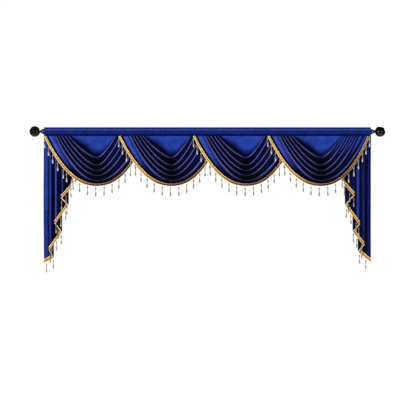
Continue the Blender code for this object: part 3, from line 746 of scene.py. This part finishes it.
def finer_share(u):
    """Where finer gathers lie between the main folds: most of the right side, a few at the left."""
    return smooth_step((u - 0.12) / 0.35) + 0.30 * smooth_step((-u - 0.60) / 0.3)


def hem_stations(count):
    """Shares u from -1 to 1 that cut the hem into equal lengths."""
    fine = np.linspace(-1.0, 1.0, 4001)
    step = np.hypot(np.diff(HALF * fine), np.diff(DROP * np.abs(fine) ** ROUND))
    length = np.concatenate([[0.0], np.cumsum(step)])
    return np.interp(np.linspace(0.0, length[-1], count), length, fine)


def swag_surface(centre_x, covered, line, u):
    """The swag's points at line numbers (a column) and shares u (a row), both arrays.

    X is the centre plus half_width times u. A point hangs drop (1 - |u| ** power) below the seam,
    with the middle of the curve rounded. Y is the seam's, leaning a little, less the fold and the
    belly of the hanging cloth. The fold is pressed at the seam and opens on the way down.
    """
    left, right, drop, forward = (through_rows([row[column] for row in SWAG_LINES], line)
                                  for column in (1, 2, 3, 4))
    if not covered:
        right = right + OPEN_WIDER * band(line, 1, BRAID_LINE, 2, 1.5)
        right = right - OPEN_TIGHTER * smooth_step((line - 11.5) / 1.5)
    half_width = left + (right - left) * smooth_step(u + 0.5)
    depth = drop / DROP
    power = SHARP + (ROUND - SHARP) * np.clip(depth, 0, 1) ** 4
    low, high = ROUNDING ** power, (1 + ROUNDING ** 2) ** (power / 2)
    fall = drop * (1 - ((u ** 2 + ROUNDING ** 2) ** (power / 2) - low) / (high - low))
    x = half_width * u
    across = x / HALF
    pushed = LAP * smooth_step(2 * across) if covered else 0.0
    hung = pushed - TILT * (1 - across)
    lean = SEAM_LEAN * across + hung * smooth_step(fall / LEAN_OPEN)
    opened = smooth_step(fall / FOLD_OPEN)
    gathers = band(line, 3, 12.4, 0.8, 0.8) * np.cos(2 * pi * line)
    finer = FINER * gathers * finer_share(u)
    fold = (forward * (PRESSED_FOLD + (1 - PRESSED_FOLD) * opened)
            + finer * (PRESSED_FINER + (1 - PRESSED_FINER) * opened))
    y = SWAG_Y + lean - fold - BELLY * depth * (1 - u ** 2)
    skewed = 1 - HEM_STRAIGHTER * smooth_step((line - 12) / 2)
    x = centre_x + x + SKEW * depth * (1 - u ** 2) * skewed
    return np.stack(np.broadcast_arrays(x, y, SEAM_Z - SEAM_GAP - fall), axis=-1)


def swag_hem(centre_x, covered, u):
    """The braid line and the hem, which tucks back a little under the braid at mid-swag."""
    braid_line = swag_surface(centre_x, covered, np.full_like(u, BRAID_LINE), u)
    hem = swag_surface(centre_x, covered, np.full_like(u, HEM_LINE), u)
    hem[:, 1] = braid_line[:, 1] + HEM_TUCK * (1 - u ** 2) ** 2
    return braid_line, hem


print("hem cut in 5 equal lengths at shares", hem_stations(6).round(3).tolist())


# %% Painted light and shade of a swag
FOLD_LIGHT, FOLD_POWER = 0.34, 6       # how light a fold's painted crest is, and the power that narrows it
CREST_EDGE, CREST_POWER = 0.9, 26    # the same for the painted highlight of tips on the crest
LEVEL_SIDE = 0.12                    # share of that light where a fold runs level
PANEL_LIGHT, HOLLOW = 0.86, 0.04       # the panel's painted light, and its painted shade halfway down
FAN_LIGHT, FAN_STRIPES, FAN_EDGE = 0.12, 0.75, 0.22    # painted light of the fan at the last swag's free end: base, stripes, tips
STRIP_LIGHT, STRIP_END, FAN_STRIP = 0.72, 0.28, 0.80   # painted light of the strip above the braid: level, at its end, on the fan
ROLLED_LINE, ROLLED_EDGE = 12.62, 0.35               # where that strip rolls over to the braid, and its painted highlight there


def steepness(grid):
    """How steeply the lines run: fall over length from one column to the next, 0 to 1."""
    step = np.gradient(grid, axis=1)
    return np.abs(step[..., 2]) / np.linalg.norm(step, axis=-1)


def swag_marks(grid, line, u, covered):
    """Painted light and shade, and a painted highlight of fibre tips along the crests (edge).

    A ridge is (0.5 + 0.5 cos) to a power along the lines, which gives each fold a thin painted lit
    crest, with painted shade in the troughs. The painted light is weakest where a fold runs level
    and strongest where it runs down. The panel and the strip beside the braid on the left are
    smooth and painted lit. A swag whose right end is not covered is gathered there into a fan of
    fine pleats, painted as lit stripes.
    """
    steep = steepness(grid)
    pleated = band(line, 3.4, 12.9, 0.4, 0.4)
    main = pleated * (0.5 + 0.5 * np.cos(pi * line))
    fine = pleated * (0.5 - 0.5 * np.cos(pi * line)) * finer_share(u)
    ridge = np.maximum(main, 0.8 * fine)
    side = LEVEL_SIDE + (1 - LEVEL_SIDE) * smooth_step((steep - 0.20) / 0.75)
    nap = FOLD_LIGHT * ridge ** FOLD_POWER * side + 0.05 * steep ** 3
    edge = CREST_EDGE * ridge ** CREST_POWER * side
    if not covered:
        below_seam = grid[0, :, 2] - grid[..., 2]
        fan = smooth_step((u - 0.30) / 0.25) * smooth_step((0.20 - below_seam) / 0.14)
        painted_stripes = FAN_LIGHT + FAN_STRIPES * (0.5 + 0.5 * np.cos(2 * pi * line)) ** 3
        nap = nap * (1 - fan) + painted_stripes * fan * smooth_step((line - 3.4) / 0.4)
        edge = edge * (1 - 0.75 * fan) + FAN_EDGE * fan * fine ** 16
    at_left, at_right = smooth_step(-u / 0.5), smooth_step(u / 0.5)
    panel = 1 - smooth_step((line - 1.8 + 0.9 * at_left - 0.4 * at_right) / 2.0)
    nap = nap * (1 - panel) + (PANEL_LIGHT - HOLLOW * line * (2.5 - line)) * panel
    strip = band(line, 12.15, 12.80, 0.2, 0.12)
    far_left = smooth_step((-u - 0.50) / 0.35)
    opened = STRIP_LIGHT + STRIP_END * smooth_step((-u - 0.8) / 0.2)
    nap = np.maximum(nap, opened * strip * far_left)
    if not covered:
        nap = np.maximum(nap, FAN_STRIP * strip * fan)
    rolled = np.exp(-((line - ROLLED_LINE) / 0.08) ** 2) * far_left
    edge = edge * (1 - 0.4 * far_left * smooth_step(line - 11))
    return nap, np.maximum(edge, ROLLED_EDGE * rolled)


print("a tenth of a line off its crest, a fold keeps",
      round((0.5 + 0.5 * float(np.cos(0.1 * pi))) ** CREST_POWER, 2), "of its tips")

# %% Four swags
PER_LINE, SWAG_COLUMNS = 9, 121    # rows of points from line to line, and points along the hem

swags = []
line = np.linspace(0, HEM_LINE, HEM_LINE * PER_LINE + 1)[:, None]
u = hem_stations(SWAG_COLUMNS)[None, :]
for number, centre_x in enumerate(SWAG_X):
    covered = number < 3
    grid = swag_surface(centre_x, covered, line, u)
    braid_line, hem = swag_hem(centre_x, covered, u[0])
    share = smooth_step(line - BRAID_LINE)[..., None]
    tucked = braid_line * (1 - share) + hem * share
    grid = np.where(line[..., None] > BRAID_LINE, tucked, grid)
    nap, edge = swag_marks(grid, line, u, covered)
    piece = add_piece(f"swag_{number + 1}_velvet", grid, grid_faces(*grid.shape[:2]).tolist(),
                      [velvet, velvet_back], {"nap": nap, "edge": edge},
                      stands_for=[f"swag_{number + 1}"], slot="velvet")
    swags.append(piece)


# %% Thickness of the cloth
def give_thickness(piece, face):
    """Solidify a sheet: half of its thickness on either side, with its back material behind.

    The sheet is turned round first where the numbered face looks at the window, which is +Y.
    """
    if piece.data.polygons[face].normal.y > 0:
        piece.data.flip_normals()
    wall = piece.modifiers.new("cloth", "SOLIDIFY")
    wall.thickness, wall.offset = CLOTH, 0.0
    wall.material_offset = 1


for piece in swags:
    give_thickness(piece, len(piece.data.polygons) // 2)
print("each swag faces the room", all(p.data.polygons[100].normal.y < 0 for p in swags))

# %% [markdown]
# ## The tails
#
# A tail, or jabot, is pleated back and forth like a fan, and its hem is cut on a slant, so the
# hem steps down to the outer edge. Pressed pleats hang nearly straight, so there is nothing to
# simulate: the cloth is one zigzag path, seen from above, carried down from the seam to the hem.
# The table gives each corner of the hem. Between two corners the cloth runs straight across,
# facing the room or turned back, and at each corner it turns round in a half circle. At the seam
# the layers are pressed together and 300 mm down they have opened. Each front layer bows forward
# beside its fold. The second table says where a lit stripe is painted on each layer, with painted
# shade between.

# %% Corners of the tails
TAIL_CORNERS = {
    "left": (
        # corner, x, drop, opened
        ("inner edge", -1.2002, 0.3180, 0.0000),
        ("first corner", -1.2484, 0.4770, 0.0000),
        ("fold 1", -1.3320, 0.5680, 0.0000),
        ("fold 2", -1.2629, 0.6300, 0.0060),
        ("fold 3", -1.3920, 0.7960, 0.0175),
        ("fold 4", -1.3238, 0.8770, 0.0235),
        ("fold 5", -1.4447, 1.0380, 0.0350),
        ("fold 6", -1.4011, 1.1100, 0.0410),
        ("outer edge", -1.4890, 1.1550, 0.0525),
    ),
    "right": (
        ("inner edge", 1.2093, 0.3090, 0.0000),
        ("first corner", 1.2438, 0.4410, 0.0000),
        ("fold 1", 1.3348, 0.5410, 0.0000),
        ("fold 2", 1.2502, 0.6300, 0.0060),
        ("fold 3", 1.3848, 0.8050, 0.0175),
        ("fold 4", 1.3211, 0.8710, 0.0235),
        ("fold 5", 1.4266, 0.9960, 0.0350),
        ("fold 6", 1.3702, 1.0550, 0.0410),
        ("outer edge", 1.4885, 1.1480, 0.0525),
    ),
}
TAIL_LIGHT = {
    "left": (
        # layer, reach from its fold, width, painted light: where a layer is painted lit
        (6, 0.024, 0.017, 0.80), (4, 0.014, 0.007, 0.66), (2, 0.012, 0.007, 0.80),
        (0, 0.012, 0.007, 0.60),
    ),
    "right": (
        (6, 0.022, 0.006, 0.38), (6, 0.000, 0.004, 0.55), (4, 0.000, 0.006, 0.68),
        (4, 0.017, 0.006, 0.32), (2, 0.0165, 0.0135, 0.64), (0, 0.010, 0.008, 0.25),
    ),
}
print("tails", {side: corners[-1][2] for side, corners in TAIL_CORNERS.items()})

# %% Path of a tail, seen from above
LAST_LAYER = 6                  # layers are counted from 0, and even ones face the room
PRESSED = 0.0030                # from one layer to the next at the seam
BOW, BOW_PLACE, BOW_WIDTH = 0.0062, 0.80, 0.16    # a front layer's bow, as shares of its width
TURN_REACH = 0.0042             # how far a half circle reaches inwards from its fold
LEAD_STEPS, LAYER_STEPS, TURN_STEPS = 8, 26, 9


def tail_plan(corners):
    """The tail's path from its inner edge to its outer one, as five arrays of equal length.

    They are x, drop, how far behind the front layer the point lies when open and when pressed,
    and the layer's number, with halves on a turn.
    """
    x, drop, opened = (np.array([corner[column] for corner in corners]) for column in (1, 2, 3))
    lead = np.linspace(0.0, 1.0, LEAD_STEPS)[:-1]
    share = np.linspace(0.0, 1.0, LAYER_STEPS)
    turn = np.linspace(0.0, pi, TURN_STEPS)[1:-1]
    depth = (1 - np.cos(turn)) / 2
    runs = [np.stack([x[0] + (x[1] - x[0]) * lead, drop[0] + (drop[1] - drop[0]) * lead,
                      0 * lead, 0 * lead, 0 * lead])]
    for layer in range(LAST_LAYER + 1):
        start, end = layer + 1, layer + 2
        forth = np.sign(x[2] - x[0]) * (-1) ** layer
        begin = x[start] + (forth * TURN_REACH if layer else 0.0)
        stop = x[end] - (forth * TURN_REACH if layer < LAST_LAYER else 0.0)
        bow = np.exp(-((share - BOW_PLACE) / BOW_WIDTH) ** 2) if layer % 2 == 0 else 0 * share
        runs.append(np.stack([begin + (stop - begin) * share,
                              drop[start] + (drop[end] - drop[start]) * share,
                              opened[end] - BOW * bow, layer * PRESSED + 0 * share,
                              layer + 0 * share]))
        if layer < LAST_LAYER:
            gap = opened[end + 1] - opened[end]
            runs.append(np.stack([stop + forth * TURN_REACH * np.sin(turn), drop[end] + 0 * turn,
                                  opened[end] + gap * depth, (layer + depth) * PRESSED,
                                  layer + 0.5 + 0 * turn]))
    return np.concatenate(runs, axis=1)


plans = {side: tail_plan(corners) for side, corners in TAIL_CORNERS.items()}
print("points along each tail", {side: plan.shape[1] for side, plan in plans.items()})

# %% Tail surface
TAIL_FRONT_Y, TAIL_OPEN = 0.0018, 0.30    # the front layer's place, and where layers have opened
SWAY, SWAY_LENGTH, SWAY_LAYERS = 0.0022, 0.61, 3.1    # a slow wave down the layers
OUTER_BOW, BOW_START, BOW_FULL = 0.005, -1.40, 0.08    # the left tail's outer edge swings out
TAIL_SHADE = 0.04                 # painted shade where a tail has no lit stripe
LOW_DARKER = 0.35               # share of the painted light that a layer loses down to the hem
TAIL_EDGE = 0.40                # painted highlight of fibre tips on the brightest stripes
TAIL_ROWS = 110


def tail_light(side, plan):
    """Painted light of each layer: a lit stripe at a set reach from its fold, shade elsewhere."""
    fold_x = [corner[1] for corner in TAIL_CORNERS[side]][2:]
    nap = TAIL_SHADE + 0 * plan[0]
    for layer, reach, width, full in TAIL_LIGHT[side]:
        off = (np.abs(plan[0] - fold_x[layer]) - reach) / width
        nap = np.where(np.abs(plan[4] - layer) < 0.6, nap + full * np.exp(-off ** 2), nap)
    return nap


def tail_surface(plan, share):
    """Points of a tail at shares of the way from seam to hem (a column of numbers).

    Z falls evenly to each point's drop. Y eases from the pressed place to the open one.
    """
    x, drop, opened, pressed, layer = plan
    fall = share * drop
    open_share = smooth_step(fall / TAIL_OPEN)
    sway = SWAY * open_share * np.sin(2 * pi * (fall / SWAY_LENGTH + layer / SWAY_LAYERS))
    y = TAIL_FRONT_Y + pressed * (1 - open_share) + opened * open_share + sway
    swing = OUTER_BOW * smooth_step((BOW_START - x) / BOW_FULL) * np.sin(pi * share) ** 0.8
    return np.stack(np.broadcast_arrays(x - swing, y, SEAM_Z - SEAM_GAP - fall), axis=-1)


tails = {}
share = np.linspace(0.0, 1.0, TAIL_ROWS)[:, None]
for side, plan in plans.items():
    grid = tail_surface(plan, share)
    # Painted light and shade of a tail, darker towards the hem, with a painted tip highlight on the
    # brightest stripes of all layers but the last.
    lit = tail_light(side, plan)
    nap = lit * (1 - LOW_DARKER * share ** 2)
    in_front = plan[4] < LAST_LAYER - 0.5
    edge = np.broadcast_to(TAIL_EDGE * smooth_step((lit - 0.45) / 0.5) * in_front, nap.shape)
    tails[side] = add_piece(f"tail_{side}_velvet", grid, grid_faces(*grid.shape[:2]).tolist(),
                            [velvet, velvet_back], {"nap": nap, "edge": edge},
                            stands_for=[f"jabot_{side}"], slot="velvet")
    give_thickness(tails[side], 12)
    print(side, "front", round(float(grid[..., 1].min()), 4),
          "back", round(float(grid[..., 1].max()), 4))

# %% [markdown]
# ## The gold braid
#
# The braid is a strip laid on the right side of the cloth along its hem. An array modifier on a
# curve could repeat a short length of it, but it would stretch at the bends. Here each point of
# the strip has a place along the hem and a place across, from -1 at the hem to 1 at the braid's
# upper edge. Its height above the cloth is a formula of the two: a round cord along either edge
# and a row of small knots between them. The cross-section is closed behind, so the braid has real
# thickness. Three marks go with it to the gold finish: along, across and bright, the painted light
# of the yarn.

# %% Lines along a hem
def lengths_along(path):
    """Distance of each point of a path from its start."""
    step = np.linalg.norm(np.diff(path, axis=0), axis=1)
    return np.concatenate([[0.0], np.cumsum(step)])


def resample(lines, step):
    """Lay matching lines out again at equal steps along the last of them."""
    length = lengths_along(lines[-1])
    stops = np.linspace(0.0, length[-1], int(length[-1] / step) + 1)
    return [np.stack([np.interp(stops, length, line[:, axis]) for axis in range(3)], axis=-1)
            for line in lines], stops


def outward_of(upper, lower, way):
    """Unit normals of the strip between two lines: along cross down, turned to the right side."""
    down = lower - upper
    forth = np.gradient(lower, axis=0)
    normal = np.cross(forth, down) * way
    return normal / np.linalg.norm(normal, axis=1, keepdims=True)


def falls_of(path):
    """How steeply a path falls towards +X: the fall over its length, from -1 to 1."""
    step = np.gradient(path, axis=0)
    return -step[:, 2] * np.sign(step[:, 0]) / np.hypot(step[:, 0], step[:, 2])


print("a slope of 45 degrees falls by", falls_of(np.array([[0, 0, 0], [1, 0, -1.0]]))[0].round(3))

# %% Strip of braid
BRAID_LIFT = 0.0012             # from the cloth's middle to the braid's back
BRAID_BODY, CORD_HEIGHT, KNOT_HEIGHT = 0.0008, 0.0013, 0.0009
CORD_MIDDLE, CORD_HALF, KNOT_HALF = 0.75, 0.25, 0.30    # as shares of the half width
RIM_WIDER = 0.04                # how much wider the front is than the back
FRONT_POINTS, BACK_POINTS = 15, 3
STEEP_NARROWER = 0.22           # share by which the braid is drawn narrower where it runs steeply
BRIGHT_AT = (                   # how steeply a swag's hem falls, and the yarn's painted light there
    (-0.90, -0.78, -0.60, -0.30, 0.00, 0.33, 0.61, 0.78, 0.86, 0.92),
    (0.28, 0.13, 0.04, 0.00, 0.02, 0.15, 0.40, 0.58, 0.80, 1.00))
TAIL_BRIGHT = 0.54              # the yarn's painted light, the same all along a tail


def braid_height(along, across):
    """Height above the braid's back: a thin body, a half-round cord at either edge, and knots."""
    cord = np.sqrt(np.clip(1 - ((np.abs(across) - CORD_MIDDLE) / CORD_HALF) ** 2, 0, 1))
    knot = np.exp(-(across / KNOT_HALF) ** 2) * (0.5 + 0.5 * np.sin(2 * pi * along / KNOT_PITCH))
    return BRAID_BODY + CORD_HEIGHT * cord + KNOT_HEIGHT * knot


def add_braid(name, upper, lower, way, stands_for):
    """Lay a braid between two lines of the cloth, on the side that way points to.

    On a swag the yarn's painted light is brightest where the hem falls to +X.
    """
    (upper, lower), stops = resample([upper, lower], KNOT_PITCH / 5)
    bright = np.full(len(stops), TAIL_BRIGHT)
    if name.startswith("swag"):
        falls = falls_of(lower)
        bright = np.interp(falls, *BRIGHT_AT)
        upper = upper + (lower - upper) * (STEEP_NARROWER * np.abs(falls[:, None]))
    outward = outward_of(upper, lower, way)
    outward = (outward + np.roll(outward, 1, 0) + np.roll(outward, -1, 0)) / 3
    outward[[0, -1]] = outward[[1, -2]]
    back = np.linspace(-1, 1, BACK_POINTS + 2)[1:-1]
    across = np.concatenate([np.linspace(1, -1, FRONT_POINTS), back])[None, :]
    front = np.arange(across.size)[None, :] < FRONT_POINTS
    along = stops[:, None]
    height = np.where(front, braid_height(along, across), 0.0)
    middle, half = (upper + lower)[:, None] / 2, (upper - lower)[:, None] / 2
    grid = (middle + half * (across * (1 + RIM_WIDER * front))[..., None]
            + outward[:, None] * (BRAID_LIFT + height)[..., None])
    grid[..., 2] = np.minimum(grid[..., 2], SEAM_Z - SEAM_GAP)
    marks = {"along": along + 0 * across, "across": across + 0 * along,
             "bright": bright[:, None] + 0 * across}
    return add_tubes(name, grid[None], [braid_gold], marks, stands_for=stands_for,
                     slot="gold_braid")


print("braid", round(float(braid_height(0, CORD_MIDDLE)) * 1000, 2), "mm thick at its cords")

# %% Six braids
TAIL_BRAID = 0.034              # height of the braid on the tails

u_fine = hem_stations(700)
hem_lines = {f"swag_{number + 1}": (*swag_hem(centre_x, number < 3, u_fine), -1)
             for number, centre_x in enumerate(SWAG_X)}
for side, plan in plans.items():
    drop = plan[1]
    upper = tail_surface(plan, ((drop - TAIL_BRAID) / drop)[None, :])[0]
    lower = tail_surface(plan, np.ones((1, 1)))[0]
    hem_lines[f"tail_{side}"] = (upper, lower, 1 if side == "left" else -1)
for key, (upper, lower, way) in hem_lines.items():
    node = "braid_" + key.replace("tail", "jabot")
    add_braid(key + "_braid", upper, lower, way, [node])

# %% [markdown]
# ## The bead fringe
#
# A narrow tape is sewn behind the braid and carries the bead strands: a little thread, a round
# bead, a slim one, a short tube and a long drop. Instances of one strand would be light, but here
# all strands of a fringe fit in one array, because each is the same turned profile: the places
# where they leave the tape, plus one ring of points for each step down the strand. A few faces a
# bead are enough at this size.

# %% Profile of a strand
STRAND_SIDES = 8


def bead(top, bottom, waist, belly, place, steps):
    """(depth, radius) pairs of one bead: an arch from waist to belly, highest at share place."""
    share = np.linspace(0.0, 1.0, steps)
    bent = share ** (np.log(0.5) / np.log(place))
    return np.stack([top + (bottom - top) * share,
                     waist + (belly - waist) * np.sin(pi * bent) ** 0.8], axis=-1)


thread = [[0.0, 0.0007], [0.0125, 0.0008]]
tube = [[0.0445, 0.0024], [0.0505, 0.0024]]
strand_profile = np.concatenate([
    thread, bead(0.0130, 0.0315, 0.0010, 0.0074, 0.50, 6),
    bead(0.0320, 0.0435, 0.0012, 0.0048, 0.45, 5), tube,
    bead(0.0515, 0.0975, 0.0018, 0.0069, 0.58, 10)])
print("strand", len(strand_profile), "rings of", STRAND_SIDES)

# %% Strands on a tape
RESAMPLE_STEP = 0.004           # from one ring of the tape to the next
SWING, SWING_BACK = 0.012, 0.3  # how far strands lean sideways, and the share of it to and fro
SWAG_COVERED, TAIL_COVERED = -0.27, -0.5    # strands that start above these hang over cloth
TAIL_X, TAIL_OVER = 1.17, 0.25  # where the tails begin, and how silvery their own strands are
TAPE_CORNERS = {
    # cloth: the tape's corners as (up from the hem, out from the cloth), and the thread's length
    "swag": (((0.006, 0.0009), (-0.0022, 0.0009), (-0.0022, 0.0021), (0.006, 0.0021)), 0.0010),
    "tail": (((0.009, -0.0021), (-0.0022, -0.0021), (-0.0022, -0.0009), (0.009, -0.0009)), 0.0060),
}


def strand_rings(roots, swing):
    """Rings of every strand: root + (radius cos a, radius sin a, -depth), swung a little."""
    depth, radius = strand_profile.T[:, None, :, None]
    angle = (np.arange(STRAND_SIDES) * 2 * pi / STRAND_SIDES)[None, None, :]
    x = radius * np.cos(angle) + swing[:, 0, None, None] * depth
    y = radius * np.sin(angle) + swing[:, 1, None, None] * depth
    return roots[:, None, None, :] + np.stack(np.broadcast_arrays(x, y, -depth), axis=-1)


# The over mark chooses between honey and a painted silver reflection for the beads.
def over_cloth(name, root):
    """1 for a strand that hangs in front of cloth and 0 over paper; a tail's own lie between."""
    if name.startswith("tail"):
        return np.full(len(root), TAIL_OVER)
    before_swag = root[:, 2] > SWAG_COVERED
    before_tail = (np.abs(root[:, 0]) > TAIL_X) & (root[:, 2] > TAIL_COVERED)
    return np.where(before_swag | before_tail, 1.0, 0.0)


def add_fringe(name, upper, lower, way, stops, stands_for, seed):
    """Sew a tape along the hem and hang a strand from it at each of the stops.

    On the swags the tape lies between cloth and braid, on the tails it is sewn behind the cloth.
    """
    corners, hang = TAPE_CORNERS[name[:4]]
    (upper, lower), length = resample([upper, lower], RESAMPLE_STEP)
    outward = outward_of(upper, lower, way)
    run = (upper - lower) / np.linalg.norm(upper - lower, axis=1, keepdims=True)
    tape = np.stack([lower + run * up + outward * out for up, out in corners], axis=1)
    tape[..., 2] = np.minimum(tape[..., 2], SEAM_Z - SEAM_GAP)
    ribbon = add_tubes(name + "_tape", tape[None], [tape_finish],
                       {"along": length[:, None] + np.zeros(4),
                        "across": np.zeros(tape.shape[:2])}, slot="gold_braid")
    middle = corners[1][1] / 2 + corners[2][1] / 2
    root = np.stack([np.interp(stops, length, (lower + outward * middle)[:, axis])
                     for axis in range(3)], axis=-1)
    root[:, 2] -= hang
    chance = np.random.default_rng(seed)
    swing = chance.normal(0.0, SWING, (len(stops), 2)) * (1.0, SWING_BACK)
    rings = strand_rings(root, swing)
    depth = strand_profile[:, 0] / strand_profile[-1, 0]
    down = np.broadcast_to(depth[None, :, None], rings.shape[:3])
    over = np.broadcast_to(over_cloth(name, root)[:, None, None], rings.shape[:3])
    strands = add_tubes(name + "_beads", rings, [glass], {"down": down, "over": over},
                        stands_for=stands_for, slot="beads")
    return ribbon, strands


print("a strand is", strand_rings(np.zeros((1, 3)), np.zeros((1, 2))).shape[1:3], "rings, sides")

# %% Six fringes
SWAG_PITCH, TAIL_PITCH = 0.0762, 0.0745    # from one strand to the next, along the hem
SWAG_STRANDS = 19
LAST_STRAND = {"left": 0.026, "right": 0.062}    # from a tail's outer edge to its first strand
FIRST_LOWER = (0.009, 0.013, 0.018, 0.024, 0.032)    # how much lower swag 1's first strands hang
FIRST_SEED = 11


def swag_stops(key, lower):
    """Places of a swag's strands, spread from the middle of the hem to both sides."""
    half = SWAG_STRANDS // 2
    stops = lengths_along(lower)[-1] / 2 + SWAG_PITCH * np.arange(-half, half + 1)
    if key == "swag_1":
        stops[:len(FIRST_LOWER)] += FIRST_LOWER
    return stops


def tail_stops(side, lower):
    """Places of a tail's strands, counted up from its outer edge and kept off the folds."""
    length, layer = lengths_along(lower), plans[side][4]
    wanted = np.arange(length[-1] - LAST_STRAND[side], 0.0, -TAIL_PITCH)
    flat = length[np.abs(layer - np.round(layer)) < 0.1]
    return flat[np.argmin(np.abs(flat[None, :] - wanted[:, None]), axis=1)]


fringes, strands = {}, {}
for number, (key, (upper, lower, way)) in enumerate(hem_lines.items()):
    stops = swag_stops(key, lower) if key.startswith("swag") else tail_stops(key[5:], lower)
    node = "bead_fringe_" + key.replace("tail", "jabot")
    fringes[key] = add_fringe(key + "_fringe", upper, lower, way, stops, [node],
                              FIRST_SEED + number)
    strands[key] = len(stops)
print("strands", strands, "together", sum(strands.values()))

# %% [markdown]
# ## The cloth's own facts
#
# The panels aren't rectangles. A cloth's area can be measured on the finished surface, as the
# heading's is below, but that is not worked out from a paper pattern. So it can't show that the
# drape took up the right amount of cloth: a real swag hides more of it in the pleats at its seam.
# The floor lies a room's height below the pole, faintly uneven like real paper.


# %% Sheets
def area_of(piece):
    """Area of a surface before it gets its thickness."""
    return sum(face.area for face in piece.data.polygons)


print("heading cloth, both layers", round(0.5 * area_of(heading), 3), "square metres")

# %% Floor
FLOOR_HALF, FLOOR_NEAR, FLOOR_FAR = 4, -3, 2    # in X, and in Y towards the camera and away
WHITE_LOW, WHITE_HIGH = (0.93, 0.93, 0.93, 1.0), (0.97, 0.97, 0.97, 1.0)

floor_paint, tree, shader = new_finish("pale floor", Roughness=0.9)
tone = add_node(tree, "ShaderNodeTexNoise", Scale=3.0, Detail=2.0,
                Vector=add_node(tree, "ShaderNodeTexCoord").outputs["Object"]).outputs["Fac"]
tree.links.new(blend(tree, tone, WHITE_LOW, WHITE_HIGH), shader.inputs["Base Color"])
floor_mesh = bpy.data.meshes.new("floor")
floor_mesh.from_pydata([(-FLOOR_HALF, FLOOR_NEAR, FLOOR_Z), (FLOOR_HALF, FLOOR_NEAR, FLOOR_Z),
                        (FLOOR_HALF, FLOOR_FAR, FLOOR_Z), (-FLOOR_HALF, FLOOR_FAR, FLOOR_Z)],
                       [], [(0, 1, 2, 3)])
floor_mesh.materials.append(floor_paint)
floor = bpy.data.objects.new("floor", floor_mesh)
scene.collection.objects.link(floor)
print("floor", -FLOOR_Z, "m below the pole")
